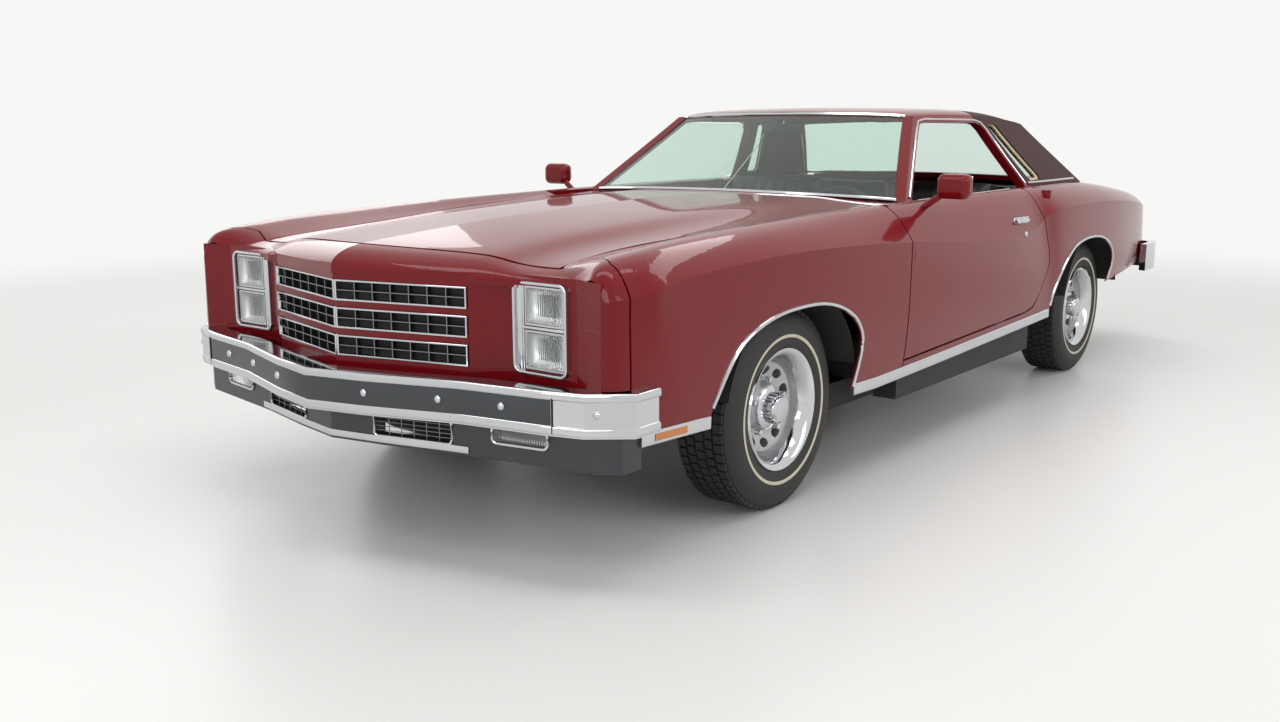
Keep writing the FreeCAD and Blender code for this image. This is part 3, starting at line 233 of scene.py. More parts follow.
def finish(name, colour, second, roughness, metallic=0.0, scale=6.0, grain=None, coat=0.0, **more):
    """A principled finish whose colour and roughness vary slowly, with an optional grain bump."""
    material = new_material(name, {"Metallic": metallic, "Coat Weight": coat,
                                   "Coat Roughness": COAT_ROUGHNESS})
    tree = material.node_tree
    shader = tree.nodes["Principled BSDF"]
    vary = add_node(tree, "Group", node_tree=VARIATION)
    feed(tree, vary, {"Colour": (*colour, 1), "Second": (*second, 1), "Scale": scale,
                      "Low": roughness[0], "High": roughness[1]})
    feed(tree, shader, {"Base Color": vary.outputs["Colour"], "Roughness": vary.outputs["Roughness"]})
    if grain:
        bump = add_node(tree, "Group", {"Scale": grain[0], "Depth": grain[1]}, node_tree=GRAIN)
        feed(tree, shader, {"Normal": bump.outputs["Normal"]})
    feed(tree, shader, {socket.replace("_", " "): value for socket, value in more.items()})
    return material


PAINT = finish("red_paint", (0.175, 0.0035, 0.0075), (0.160, 0.003, 0.0065), (0.30, 0.36), scale=3, coat=0.75,
               Specular_IOR_Level=0.05, Coat_IOR=1.38)
VINYL = finish("roof_vinyl", (0.040, 0.013, 0.014), (0.055, 0.018, 0.019), (0.5, 0.62), scale=9,
               grain=(260, 0.8),
               Specular_IOR_Level=0.2)
CHROME = finish("bright_chrome", (0.62, 0.63, 0.65), (0.56, 0.57, 0.59), (0.05, 0.11), metallic=1.0, scale=14)
# A darker copy of the bright chrome: painted shade, for chrome in recesses, behind grilles and inside the
# cabin.
SHADED_CHROME = finish("shadow_chrome", (0.20, 0.21, 0.22), (0.26, 0.27, 0.28), (0.22, 0.34), metallic=0.9)
BLACK_PLASTIC = finish("black_plastic", (0.012, 0.012, 0.013), (0.02, 0.02, 0.02), (0.4, 0.55),
                       grain=(900, 0.1),
                       Specular_IOR_Level=0.15)
GREY_PAINT = finish("grey_paint", (0.040, 0.043, 0.049), (0.055, 0.058, 0.063), (0.25, 0.36), metallic=0.4)
SEAT_VINYL = finish("pleated_vinyl", (0.010, 0.010, 0.011), (0.016, 0.016, 0.017), (0.36, 0.5),
                    grain=(500, 0.25))
TRIM_BLACK = finish("cabin_black", (0.012, 0.011, 0.011), (0.02, 0.018, 0.018), (0.5, 0.65), grain=(600, 0.3))
UNDERBODY = finish("underbody_black", (0.012, 0.012, 0.012), (0.028, 0.026, 0.024), (0.6, 0.8),
                   grain=(120, 0.3))
CAST_IRON = finish("cast_iron", (0.05, 0.05, 0.05), (0.09, 0.085, 0.08), (0.55, 0.7), metallic=0.7,
                   grain=(300, 0.4))
PIPE_STEEL = finish("pipe_steel", (0.22, 0.21, 0.20), (0.32, 0.30, 0.27), (0.35, 0.55), metallic=0.9)
SILVER = finish("silver_paint", (0.46, 0.46, 0.47), (0.42, 0.42, 0.43), (0.28, 0.36), metallic=0.75, coat=0.3)
CREAM = finish("cream_trim", (0.72, 0.63, 0.40), (0.68, 0.58, 0.36), (0.3, 0.4), coat=0.4)
RUBBER = finish("black_rubber", (0.014, 0.014, 0.014), (0.022, 0.021, 0.020), (0.55, 0.7), scale=12,
                grain=(300, 0.15))
AMBER = finish("amber_lens", (0.55, 0.17, 0.01), (0.5, 0.14, 0.01), (0.12, 0.2), scale=40, coat=0.6)
RED_LENS = finish("red_lens", (0.35, 0.006, 0.006), (0.28, 0.004, 0.004), (0.1, 0.18), scale=40, coat=0.8)


def glass_finish(name, colour, roughness=0.0):
    return new_material(name, {"Base Color": (*colour, 1), "Roughness": roughness,
                               "Transmission Weight": 1.0, "IOR": 1.45})


TINTED_GLASS = glass_finish("tinted_glass", (0.80, 0.93, 0.86))
LENS_GLASS = glass_finish("lens_glass", (0.95, 0.97, 0.97), 0.02)

# %% [markdown]
# The plain CAD nodes already have the right shapes, so each one only needs its finish.
# A node with a hard edge between colours is split later by thin trim laid over it.

# %% Finishes of the CAD nodes
CORNERS = ("front_left", "front_right", "rear_left", "rear_right")


def both_sides(*names):
    return [f"{name}_{side_name}" for name in names for side_name, _ in SIDES]


NODE_FINISH = {
    PAINT: ["hood", "nose_panel", "roof_panel", "cowl_panel", "deck_lid", "tail_panel", "rear_deck_filler",
            "rocker_panels", *both_sides("front_fender", "door", "quarter_panel", "mirror")],
    VINYL: ["vinyl_roof"],
    TINTED_GLASS: ["window_glass", "door_glass_right"],
    CHROME: ["front_bumper", "rear_bumper"],
    GREY_PAINT: ["front_valance"],
    BLACK_PLASTIC: ["grille"],
    RED_LENS: ["tail_lamps"],
    LENS_GLASS: ["front_lamps"],
    UNDERBODY: ["body_tub", "wheelhouses", "frame", "fuel_tank", "front_suspension"],
    CAST_IRON: ["engine", "driveline", "rear_axle", *both_sides("knuckle")],
    PIPE_STEEL: ["exhaust"],
    SILVER: [f"wheel_{corner}" for corner in CORNERS],
    RUBBER: [f"tyre_{corner}" for corner in CORNERS],
    TRIM_BLACK: ["dashboard", "steering_column", "steering_wheel"],
    SEAT_VINYL: ["front_seats", "rear_seat"],
}

for material, names in NODE_FINISH.items():
    for name in names:
        for piece_slot in nodes[name].material_slots:
            piece_slot.material = material
# The top of one inner wall comes level with the shoulder behind the door, so it is painted.
WALL_Y = (0.795, 0.835)
WALL_X = 0.74
WALL_Z = 0.41
tub_mesh = nodes["body_tub"].data
tub_mesh.materials.append(PAINT)
for face in tub_mesh.polygons:
    corners = [tub_mesh.vertices[i].co for i in face.vertices]
    if all(WALL_Y[0] < c.y < WALL_Y[1] and abs(c.x) > WALL_X and c.z > WALL_Z for c in corners):
        face.material_index = len(tub_mesh.materials) - 1
print("finished nodes", sum(len(names) for names in NODE_FINISH.values()), "of", len(nodes))

# %% [markdown]
# Trim has to lie on the body, so its places are measured on the frame.  A ray sent at a
# panel from outside gives the point where a moulding, handle or badge plate touches it.

# %% Measuring helpers
TREES = {}


def tree_of(name):
    if name not in TREES:
        mesh = nodes[name].data
        TREES[name] = BVHTree.FromPolygons([v.co for v in mesh.vertices],
                                           [p.vertices[:] for p in mesh.polygons])
    return TREES[name]


def nearest_hit(names, start, direction):
    """The first point that a ray meets on any of the named nodes, or None."""
    best = None
    for name in names:
        place, normal, index, distance = tree_of(name).ray_cast(Vector(start), Vector(direction))
        if place is not None and (best is None or distance < best[0]):
            best = (distance, place)
    return best[1] if best else None


def on_side(names, y, z, side, proud=0.0):
    """The point of the car's side at (y, z), moved out by proud."""
    place = nearest_hit(names, (side * 1.4, y, z), (-side, 0, 0))
    return None if place is None else Vector((place.x + side * proud, y, z))


def on_front(names, x, z, proud=0.0):
    place = nearest_hit(names, (x, -3.2, z), (0, 1, 0))
    return None if place is None else Vector((x, place.y - proud, z))


def on_top(names, x, y, proud=0.0):
    place = nearest_hit(names, (x, y, 2.0), (0, 0, -1))
    return None if place is None else Vector((x, y, place.z + proud))


def mirrored(half):
    """A line given from its middle outwards, with its other half added in front."""
    return [(-across, other) for across, other in half[:0:-1]] + half


def found(points):
    """The points that a ray did meet."""
    return [point for point in points if point is not None]


# %% [markdown]
# Most trim comes from a few shapes: a box with soft edges, a tube or flat strip along a
# path, and a turned ring.  Each helper adds a primitive, shapes it, sets its finish and
# lets it ride on a body.

# %% Modelling helpers


def select_only(piece):
    bpy.ops.object.select_all(action="DESELECT")
    piece.select_set(True)
    bpy.context.view_layer.objects.active = piece


def settle(piece):
    """Puts the object's place into its mesh, so that the object itself sits at the origin."""
    piece.data.transform(piece.matrix_world)
    piece.matrix_world = Matrix.Identity(4)
    piece.data.update()


def apply_modifier(piece, kind, **values):
    select_only(piece)
    modifier = piece.modifiers.new(kind.lower(), kind)
    for key, value in values.items():
        setattr(modifier, key, value)
    bpy.ops.object.modifier_apply(modifier=modifier.name)


def dress(piece, material=None, body="root"):
    """Gives a finished piece its finish, its smooth shading and the body that it rides on."""
    settle(piece)
    if material is not None:
        piece.data.materials.clear()
        piece.data.materials.append(material)
    select_only(piece)
    bpy.ops.object.shade_smooth_by_angle(angle=radians(35))
    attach(piece, body)
    return piece


def raw_box(name, low, high):
    bpy.ops.object.select_all(action="DESELECT")
    centre = [(a + b) / 2 for a, b in zip(low, high)]
    bpy.ops.mesh.primitive_cube_add(size=1, location=centre)
    piece = bpy.context.object
    piece.name = name
    piece.scale = [b - a for a, b in zip(low, high)]
    bpy.ops.object.transform_apply(location=True, rotation=True, scale=True)
    return piece


def soft_box(name, low, high, material, body="root", bevel=0.003, segments=3):
    piece = raw_box(name, low, high)
    apply_modifier(piece, "BEVEL", width=bevel, segments=segments, limit_method="ANGLE")
    return dress(piece, material, body)


def pick_faces(piece, keep):
    """Selects the faces for which keep(centre, normal) is true, in edit mode."""
    select_only(piece)
    bpy.ops.object.mode_set(mode="EDIT")
    bpy.ops.mesh.select_mode(type="FACE")
    bpy.ops.mesh.select_all(action="DESELECT")
    bpy.ops.object.mode_set(mode="OBJECT")
    for face in piece.data.polygons:
        face.select = bool(keep(face.center, face.normal))
    bpy.ops.object.mode_set(mode="EDIT")


def sink_front(piece, lip, *steps):
    """Insets the front (-Y) face by lip and pushes it back in steps of (distance, narrowing)."""
    pick_faces(piece, lambda centre, normal: normal.y < -0.9)
    bpy.ops.mesh.inset(thickness=lip, depth=0)
    for sink, narrow in steps:
        bpy.ops.mesh.extrude_region_move(TRANSFORM_OT_translate={"value": (0, sink, 0)})
        if narrow < 1:
            bpy.ops.transform.resize(value=(narrow, 1, narrow))
    bpy.ops.object.mode_set(mode="OBJECT")


def add_finishes(piece, *materials):
    for material in materials:
        piece.data.materials.append(material)


def tray(name, low, high, lip, depth, rim_material, floor_material, bevel=0.0015):
    """A box whose front (-Y) face is inset by lip and sunk by depth, like a lamp or grille frame."""
    piece = raw_box(name, low, high)
    sink_front(piece, lip, (depth, 1))
    add_finishes(piece, rim_material, floor_material)
    floor_y = low[1] + depth
    for face in piece.data.polygons:
        if face.normal.y < -0.9 and abs(face.center.y - floor_y) < 1e-4:
            face.material_index = 1
    apply_modifier(piece, "BEVEL", width=bevel, segments=2, limit_method="ANGLE")
    return piece


def path_curve(name, points, radius, flat, cyclic, resolution):
    bpy.ops.object.select_all(action="DESELECT")
    data = bpy.data.curves.new(name, "CURVE")
    data.dimensions = "3D"
    data.twist_mode = "Z_UP"
    data.bevel_depth = radius
    data.bevel_resolution = resolution
    data.extrude = flat
    data.use_fill_caps = True
    spline = data.splines.new("POLY")
    spline.points.add(len(points) - 1)
    for spot, place in zip(spline.points, points):
        spot.co = (*place, 1)
    spline.use_cyclic_u = cyclic
    piece = bpy.data.objects.new(name, data)
    scene.collection.objects.link(piece)
    return piece


def strip(name, points, material, body="root", radius=0.004, flat=0.0, cyclic=False, resolution=2):
    """A tube along points, or with flat above 0 a flat upright strip that far above and below them."""
    piece = path_curve(name, points, radius, flat, cyclic, resolution)
    select_only(piece)
    bpy.ops.object.convert(target="MESH")
    return dress(bpy.context.object, material, body)


def cylinder(name, centre, radius, depth, sides=24, scale=(1, 1, 1)):
    """A cylinder along X; scale squeezes it in its own axes."""
    bpy.ops.object.select_all(action="DESELECT")
    bpy.ops.mesh.primitive_cylinder_add(vertices=sides, radius=radius, depth=depth, location=centre,
                                        rotation=(0, pi / 2, 0))
    piece = bpy.context.object
    piece.name = name
    piece.scale = scale
    bpy.ops.object.transform_apply(location=True, rotation=True, scale=True)
    return piece


def join_pieces(name, pieces):
    bpy.ops.object.select_all(action="DESELECT")
    for piece in pieces:
        piece.select_set(True)
    bpy.context.view_layer.objects.active = pieces[0]
    bpy.ops.object.join()
    pieces[0].name = name
    return pieces[0]


def copied(piece, name, matrix, body):
    """A copy with its own mesh, moved by matrix; a mirrored copy has its faces turned back out."""
    twin = piece.copy()
    twin.data = piece.data.copy()
    twin.name = name
    scene.collection.objects.link(twin)
    twin.parent = None
    twin.matrix_world = Matrix.Identity(4)
    twin.data.transform(matrix)
    if matrix.determinant() < 0:
        twin.data.flip_normals()
    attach(twin, body)
    return twin


FLIP_X = Matrix.Diagonal((-1, 1, 1, 1))


def mirror_twin(piece, body="root"):
    """The right-hand twin of a left-hand piece."""
    return copied(piece, piece.name.replace("left", "right"), FLIP_X, body)


def lathe(name, outline, centre, steps, closed=True):
    """Turns an outline of (along axle, radius) pairs about the X axis through centre."""
    bpy.ops.object.select_all(action="DESELECT")
    bpy.ops.mesh.primitive_plane_add(size=0.001, location=(0, 0, 0))
    piece = bpy.context.object
    piece.name = name
    bpy.ops.object.mode_set(mode="EDIT")
    bpy.ops.mesh.select_mode(type="VERT")
    bpy.ops.mesh.select_all(action="SELECT")
    bpy.ops.mesh.merge(type="CENTER")
    bpy.ops.transform.translate(value=(outline[0][0], 0, outline[0][1]))
    for (x0, r0), (x1, r1) in zip(outline, outline[1:]):
        bpy.ops.mesh.extrude_region_move(TRANSFORM_OT_translate={"value": (x1 - x0, 0, r1 - r0)})
    if closed:
        (x0, r0), (x1, r1) = outline[-1], outline[0]
        bpy.ops.mesh.extrude_region_move(TRANSFORM_OT_translate={"value": (x1 - x0, 0, r1 - r0)})
    bpy.ops.mesh.select_all(action="SELECT")
    bpy.ops.mesh.spin(steps=steps, angle=2 * pi, center=(0, 0, 0), axis=(1, 0, 0))
    bpy.ops.mesh.select_all(action="SELECT")
    bpy.ops.mesh.remove_doubles(threshold=0.00005)
    bpy.ops.mesh.normals_make_consistent(inside=False)
    bpy.ops.object.mode_set(mode="OBJECT")
    piece.data.transform(Matrix.Translation(centre))
    return piece


# %% [markdown]
# The grille is a shallow vee of three bright-framed rows in each half, with red bars
# between them.  One row is a box whose face is inset and sunk, with thin bars arrayed in
# it; the other rows and the right half are copies of it.

# %% Grille
GRILLE_START = Vector((0.003, -2.586, 0))
GRILLE_END = Vector((0.440, -2.472, 0))
GRILLE_ROWS = ((0.748, 0.811), (0.665, 0.728), (0.582, 0.645))
GRILLE_CELLS = 7
ROW_FRAME = 0.0055
ROW_DEPTH = 0.020


def grille_row(name, z_low, z_high):
    """One framed row, laid out along +X from the origin and then swung onto the vee."""
    length = (GRILLE_END - GRILLE_START).length
    frame_box = tray(name, (0, 0, z_low), (length, 0.026, z_high), ROW_FRAME, ROW_DEPTH, CHROME,
                     BLACK_PLASTIC)
    cell = (length - 2 * ROW_FRAME) / GRILLE_CELLS
    bars = raw_box(name + "_bars", (ROW_FRAME + cell - 0.0015, 0.004, z_low + ROW_FRAME),
                   (ROW_FRAME + cell + 0.0015, ROW_DEPTH, z_high - ROW_FRAME))
    apply_modifier(bars, "ARRAY", count=GRILLE_CELLS - 1, use_relative_offset=False, use_constant_offset=True,
                   constant_offset_displace=(cell, 0, 0))
    middle = (z_low + z_high) / 2
    rail = raw_box(name + "_rail", (ROW_FRAME, 0.004, middle - 0.0013),
                   (length - ROW_FRAME, ROW_DEPTH, middle + 0.0013))
    # The fronts of the bars and rail take the darker chrome: painted shade inside the grille.
    for piece in (bars, rail):
        add_finishes(piece, BLACK_PLASTIC, SHADED_CHROME)
        for face in piece.data.polygons:
            face.material_index = 1 if face.normal.y < -0.9 else 0
    row = join_pieces(name, [frame_box, bars, rail])
    along_row = GRILLE_END - GRILLE_START
    swing = Matrix.Rotation(atan2(along_row.y, along_row.x), 4, "Z")
    row.data.transform(Matrix.Translation(GRILLE_START) @ swing)
    return dress(row)


for number, (low_z, high_z) in enumerate(GRILLE_ROWS):
    left_row = grille_row(f"grille_row_{number}_left", low_z, high_z)
    mirror_twin(left_row)
for number, (upper, lower) in enumerate(zip(GRILLE_ROWS, GRILLE_ROWS[1:])):
    bar_points = [(-GRILLE_END.x, GRILLE_END.y + 0.012, (upper[0] + lower[1]) / 2),
                  (0, GRILLE_START.y + 0.012, (upper[0] + lower[1]) / 2),
                  (GRILLE_END.x, GRILLE_END.y + 0.012, (upper[0] + lower[1]) / 2)]
    strip(f"grille_bar_{number}", bar_points, PAINT, radius=0.006, flat=0.006)

# %% [markdown]
# Each headlamp pair is two square sealed beams, one above the other, in a bright rounded
# bezel.  A lamp is a box with a sunk mirror bowl and a ribbed glass in front.

# %% Headlamps
RIB_PITCH = 0.008


def ribbed_glass():
    """Clear glass with upright ribs pressed into it."""
    material = glass_finish("ribbed_glass", (0.93, 0.95, 0.95), 0.04)
    tree = material.node_tree
    place = add_node(tree, "TexCoord").outputs["Object"]
    wave = add_node(tree, "TexWave", {"Vector": place, "Scale": 2 * pi / (20 * RIB_PITCH), "Distortion": 0},
                    wave_type="BANDS", bands_direction="X")
    bump = add_node(tree, "Bump", {"Strength": 0.5, "Distance": 0.001, "Height": wave.outputs["Fac"]})
    feed(tree, tree.nodes["Principled BSDF"], {"Normal": bump.outputs["Normal"]})
    return material


RIBBED_GLASS = ribbed_glass()
MIRROR = finish("lamp_mirror", (0.90, 0.90, 0.88), (0.82, 0.82, 0.80), (0.25, 0.4), metallic=0.7, scale=30)
BEZEL_LOW = (0.563, -2.416, 0.573)
BEZEL_HIGH = (0.764, -2.376, 0.835)
BEZEL_CORNER = 0.026
BEZEL_LIP = 0.009
BEZEL_SINK = 0.034
LAMP_X = (0.604, 0.748)
LAMP_FRONT_Y = -2.406
LAMP_BACK_Y = -2.370
LAMP_RIM = 0.006
BOWL_STEPS = ((0.010, 0.86), (0.012, 0.74), (0.008, 0.5))
POST_Z = (0.580, 0.828)
LAMP_ROWS = ((0.712, 0.822), (0.588, 0.698))


def bezel():
    piece = raw_box("lamp_bezel_left", BEZEL_LOW, BEZEL_HIGH)
    select_only(piece)
    bpy.ops.object.mode_set(mode="EDIT")
    bpy.ops.mesh.select_mode(type="EDGE")
    bpy.ops.mesh.select_all(action="DESELECT")
    bpy.ops.object.mode_set(mode="OBJECT")
    for edge in piece.data.edges:
        first, second = (piece.data.vertices[i].co for i in edge.vertices)
        edge.select = abs(first.y - second.y) > 0.01
    bpy.ops.object.mode_set(mode="EDIT")
    bpy.ops.mesh.bevel(offset=BEZEL_CORNER, segments=6, affect="EDGES")
    bpy.ops.object.mode_set(mode="OBJECT")
    sink_front(piece, BEZEL_LIP, (BEZEL_SINK, 1))
    # The sunk floor of the bezel takes the darker chrome: painted shade in the recess.
    add_finishes(piece, CHROME, SHADED_CHROME)
    for face in piece.data.polygons:
        if face.normal.y < -0.9 and face.center.y > BEZEL_LOW[1] + 0.03:
            face.material_index = 1
    apply_modifier(piece, "BEVEL", width=0.003, segments=3, limit_method="ANGLE", angle_limit=radians(50))
    return dress(piece)


def headlamp(name, z_low, z_high):
    bowl = raw_box(name, (LAMP_X[0], LAMP_FRONT_Y, z_low), (LAMP_X[1], LAMP_BACK_Y, z_high))
    sink_front(bowl, LAMP_RIM, *BOWL_STEPS)
    add_finishes(bowl, CHROME, MIRROR)
    for face in bowl.data.polygons:
        deep = face.center.y > -2.404 and abs(face.center.x - sum(LAMP_X) / 2) < 0.062 and face.normal.y < 0.5
        face.material_index = 1 if deep and abs(face.center.z - (z_low + z_high) / 2) < 0.047 else 0
    lens = raw_box(name + "_lens", (LAMP_X[0] + 0.005, -2.408, z_low + 0.005),
                   (LAMP_X[1] - 0.005, -2.403, z_high - 0.005))
    apply_modifier(lens, "BEVEL", width=0.002, segments=2)
    dress(bowl)
    dress(lens, RIBBED_GLASS)
    return bowl, lens


left_bezel = bezel()
mirror_twin(left_bezel)
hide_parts("front_lamps")
for number, (low_z, high_z) in enumerate(LAMP_ROWS):
    for piece in headlamp(f"headlamp_{number}_left", low_z, high_z):
        mirror_twin(piece)
middle_z = (LAMP_ROWS[0][0] + LAMP_ROWS[1][1]) / 2
mirror_twin(soft_box("lamp_cheek_left", (0.571, -2.409, POST_Z[0]), (0.5935, -2.384, POST_Z[1]), CHROME,
                     bevel=0.004))
mirror_twin(soft_box("lamp_divider_left", (0.572, -2.408, middle_z - 0.005),
                     (0.755, -2.380, middle_z + 0.005), CHROME))
mirror_twin(soft_box("lamp_post_left", (0.594, -2.407, POST_Z[0]), (0.601, -2.380, POST_Z[1]), CHROME,
                     bevel=0.002))

# %% [markdown]
# The front bumper is a vee of pressed steel with a sunk band between a wide upper lip and a
# narrow lower one, held by round-headed bolts.  The band is chrome; its dark grey is a painted reflection of
# the dark floor.  The strips follow the CAD plan.

# %% Front bumper
HALF_PLAN = [(0, -2.7015), (0.200, -2.655), (0.495, -2.560), (0.760, -2.512), (0.880, -2.478),
             (0.9855, -2.390), (0.9855, -2.290)]
BUMPER_PLAN = mirrored(HALF_PLAN)
BAND_Z = (0.470, 0.540)
# Dark grey for the sunk chrome band of the bumpers: painted reflection of the dark floor.
FLOOR_REFLECTION_GREY = finish("floor_reflection_grey", (0.055, 0.060, 0.066), (0.075, 0.080, 0.086), (0.28, 0.40), metallic=0.6)
BOLT_X = (0.201, 0.430, 0.631, 0.905)
BOLT_Z = 0.506
BOLT_R = 0.012
HALF_BUMPER = 0.9855
BAND_REACH = 0.785


def plan_at(x):
    for (x0, y0), (x1, y1) in zip(BUMPER_PLAN, BUMPER_PLAN[1:]):
        if x0 < x <= x1:
            return y0 + (y1 - y0) * (x - x0) / (x1 - x0)
    return BUMPER_PLAN[-1][1]


def bumper_line(z, inward, from_x=-HALF_BUMPER, to_x=HALF_BUMPER):
    """The plan line of the bumper between two widths, drawn in by inward."""
    inner = [(x, y) for x, y in BUMPER_PLAN if from_x <= x <= to_x]
    if to_x < 0.98:
        inner = [(from_x, plan_at(from_x))] + inner + [(to_x, plan_at(to_x))]
    return [(x * (1 - inward / 0.98), y + inward, z) for x, y in inner]


strip("bumper_upper_lip", bumper_line(0.550, 0.004), CHROME, radius=0.009, flat=0.004, resolution=4)
strip("bumper_lower_lip", bumper_line(0.456, 0.004), CHROME, radius=0.008, flat=0.006, resolution=4)
strip("bumper_band", bumper_line(sum(BAND_Z) / 2, 0.001, -BAND_REACH, BAND_REACH), FLOOR_REFLECTION_GREY,
      radius=0.002, flat=(BAND_Z[1] - BAND_Z[0]) / 2)
for number, x in enumerate(BOLT_X):
    y = plan_at(x)
    bpy.ops.object.select_all(action="DESELECT")
    bpy.ops.mesh.primitive_uv_sphere_add(segments=24, ring_count=12, radius=BOLT_R,
                                         location=(x, y - 0.001, BOLT_Z))
    bolt = bpy.context.object
    bolt.name = f"bumper_bolt_{number}_left"
    bolt.scale = (1, 0.6, 1)
    bpy.ops.object.transform_apply(location=True, rotation=True, scale=True)
    mirror_twin(dress(bolt, CHROME))
joint_y = plan_at(0.79)
mirror_twin(soft_box("bumper_joint_left", (0.788, joint_y - 0.004, 0.447), (0.7915, joint_y + 0.02, 0.556),
                     BLACK_PLASTIC, bevel=0.0005))

# %% [markdown]
# Below the bumper the valance has two small grilles and two turn lamps with ribbed clear
# lenses.  Each is framed by a bright rounded ring that lies on the panel.

# %% Valance


def rounded_loop(x_low, x_high, z_low, z_high, corner, place):
    """Points round a rectangle with round corners; place(x, z) gives each point its depth."""
    points = []
    for cx, cz, start in ((x_high - corner, z_high - corner, 0), (x_low + corner, z_high - corner, 90),
                          (x_low + corner, z_low + corner, 180), (x_high - corner, z_low + corner, 270)):
        for step in range(5):
            turn = radians(start + step * 22.5)
            points.append(place(cx + corner * cos(turn), cz + corner * sin(turn)))
    return points


VALANCE_HOLE = (0.165, 0.420, 0.365, 0.430)
TURN_LAMP = (0.560, 0.740, 0.385, 0.438)
hole_left = on_front(["front_valance"], VALANCE_HOLE[0] - 0.012, 0.40)
hole_right = on_front(["front_valance"], VALANCE_HOLE[1] + 0.012, 0.40)


def hole_point(x, z):
    share = (x - hole_left.x) / (hole_right.x - hole_left.x)
    return Vector((x, hole_left.y + (hole_right.y - hole_left.y) * share - 0.002, z))


foot_spots = found(on_front(["front_valance"], -0.48 + n * 0.08, 0.352, 0.001) for n in range(13))
strip("valance_foot_moulding", foot_spots, CHROME, radius=0.004, flat=0.007)
x_low, x_high, z_low, z_high = VALANCE_HOLE
ring = rounded_loop(x_low - 0.004, x_high + 0.004, z_low - 0.003, z_high + 0.003, 0.014, hole_point)
mirror_twin(strip("valance_grille_ring_left", ring, CHROME, radius=0.004, cyclic=True))


def grid_bar(name, start, end, back, radius):
    points = [hole_point(*spot) + Vector((0, back, 0)) for spot in (start, end)]
    # The grid behind the hole takes the darker chrome: painted shade.
    return strip(name, points, SHADED_CHROME, radius=radius)


slats = []
for number in range(1, 5):
    z = z_low + (z_high - z_low) * number / 5
    slats.append(grid_bar(f"slat_{number}", (x_low, z), (x_high, z), 0.006, 0.0012))
for number in range(1, 6):
    x = x_low + (x_high - x_low) * number / 6
    slats.append(grid_bar(f"post_{number}", (x, z_low), (x, z_high), 0.007, 0.0014))
mirror_twin(join_pieces("valance_grid_left", slats))
mirror_twin(soft_box("valance_shadow_left", (x_low, hole_right.y + 0.02, z_low),
                     (x_high, hole_right.y + 0.025, z_high), BLACK_PLASTIC, bevel=0.001))

x_low, x_high, z_low, z_high = TURN_LAMP


def lamp_point(x, z):
    here = on_front(["front_valance"], x, 0.36)
    return Vector((x, here.y - 0.003, z))


mirror_twin(strip("turn_lamp_ring_left", rounded_loop(x_low, x_high, z_low, z_high - 0.004, 0.016,
                                                      lamp_point),
                  CHROME, radius=0.0045, cyclic=True))
lens_left, lens_right = lamp_point(x_low, 0.4), lamp_point(x_high, 0.4)
lens = raw_box("turn_lamp_lens_left", (0, 0, z_low + 0.004),
               ((lens_right - lens_left).length, 0.010, z_high - 0.008))
apply_modifier(lens, "BEVEL", width=0.004, segments=3)
lens.data.transform(Matrix.Translation((x_low, lens_left.y - 0.002, 0))
                    @ Matrix.Rotation(atan2(lens_right.y - lens_left.y, x_high - x_low), 4, "Z"))
mirror_twin(dress(lens, RIBBED_GLASS))

# %% [markdown]
# Bright mouldings outline the windows, the wheel openings, the belt and the sills.  Each
# one is a thin strip whose points were measured on the panel, so it follows the curve.

# %% Wheel-lip and sill mouldings
FRONT_ARCH = [(-1.990, 0.446), (-1.930, 0.540), (-1.862, 0.610), (-1.769, 0.652), (-1.639, 0.679),
              (-1.480, 0.685),
              (-1.360, 0.676), (-1.250, 0.648), (-1.160, 0.604), (-1.112, 0.555), (-1.100, 0.505),
              (-1.112, 0.440),
              (-1.135, 0.345)]
REAR_ARCH = [(0.812, 0.345), (0.826, 0.446), (0.868, 0.520), (0.925, 0.586), (0.990, 0.637), (1.080, 0.682),
             (1.200, 0.703), (1.330, 0.706), (1.460, 0.694), (1.580, 0.662), (1.664, 0.618), (1.700, 0.560),
             (1.690, 0.500), (1.672, 0.345)]
LIP_OUT = 0.007


def smooth_path(points, steps):
    """Points on a Catmull-Rom line through the given ones."""
    ends = [points[0]] + list(points) + [points[-1]]
    path = []
    for a, b, c, d in zip(ends, ends[1:], ends[2:], ends[3:]):
        for step in range(steps):
            t = step / steps
            path.append([0.5 * (2 * q + (r - p) * t + (2 * p - 5 * q + 4 * r - s) * t * t
                                + (3 * q - p - 3 * r + s) * t ** 3) for p, q, r, s in zip(a, b, c, d)])
    path.append(list(points[-1]))
    return path


def lip_path(arch, names, side):
    """The opening's edge moved out a little and laid on the panel."""
    middle = (sum(p[0] for p in arch) / len(arch), 0.33)
    placed = []
    for y, z in smooth_path(arch, 4):
        away = Vector((y - middle[0], z - middle[1])).normalized() * LIP_OUT
        placed.append(on_side(names, y + away.x, z + away.y, side, 0.001))
    return found(placed)


for side_name, side in SIDES:
    for end, arch, panel in (("front", FRONT_ARCH, f"front_fender_{side_name}"),
                               ("rear", REAR_ARCH, f"quarter_panel_{side_name}")):
        path = lip_path(arch, [panel], side)
        strip(f"wheel_lip_{end}_{side_name}", path, CHROME, radius=0.0065)

SILL_X = 0.954
PANEL_FOOT = [(-2.340, 0.424), (-2.184, 0.418), (-2.034, 0.412), (-1.700, 0.395), (-1.350, 0.365),
              (-0.950, 0.357),
              (-0.480, 0.366), (0, 0.378), (0.400, 0.388), (0.640, 0.394), (0.900, 0.402)]
SILL_HALF = 0.016


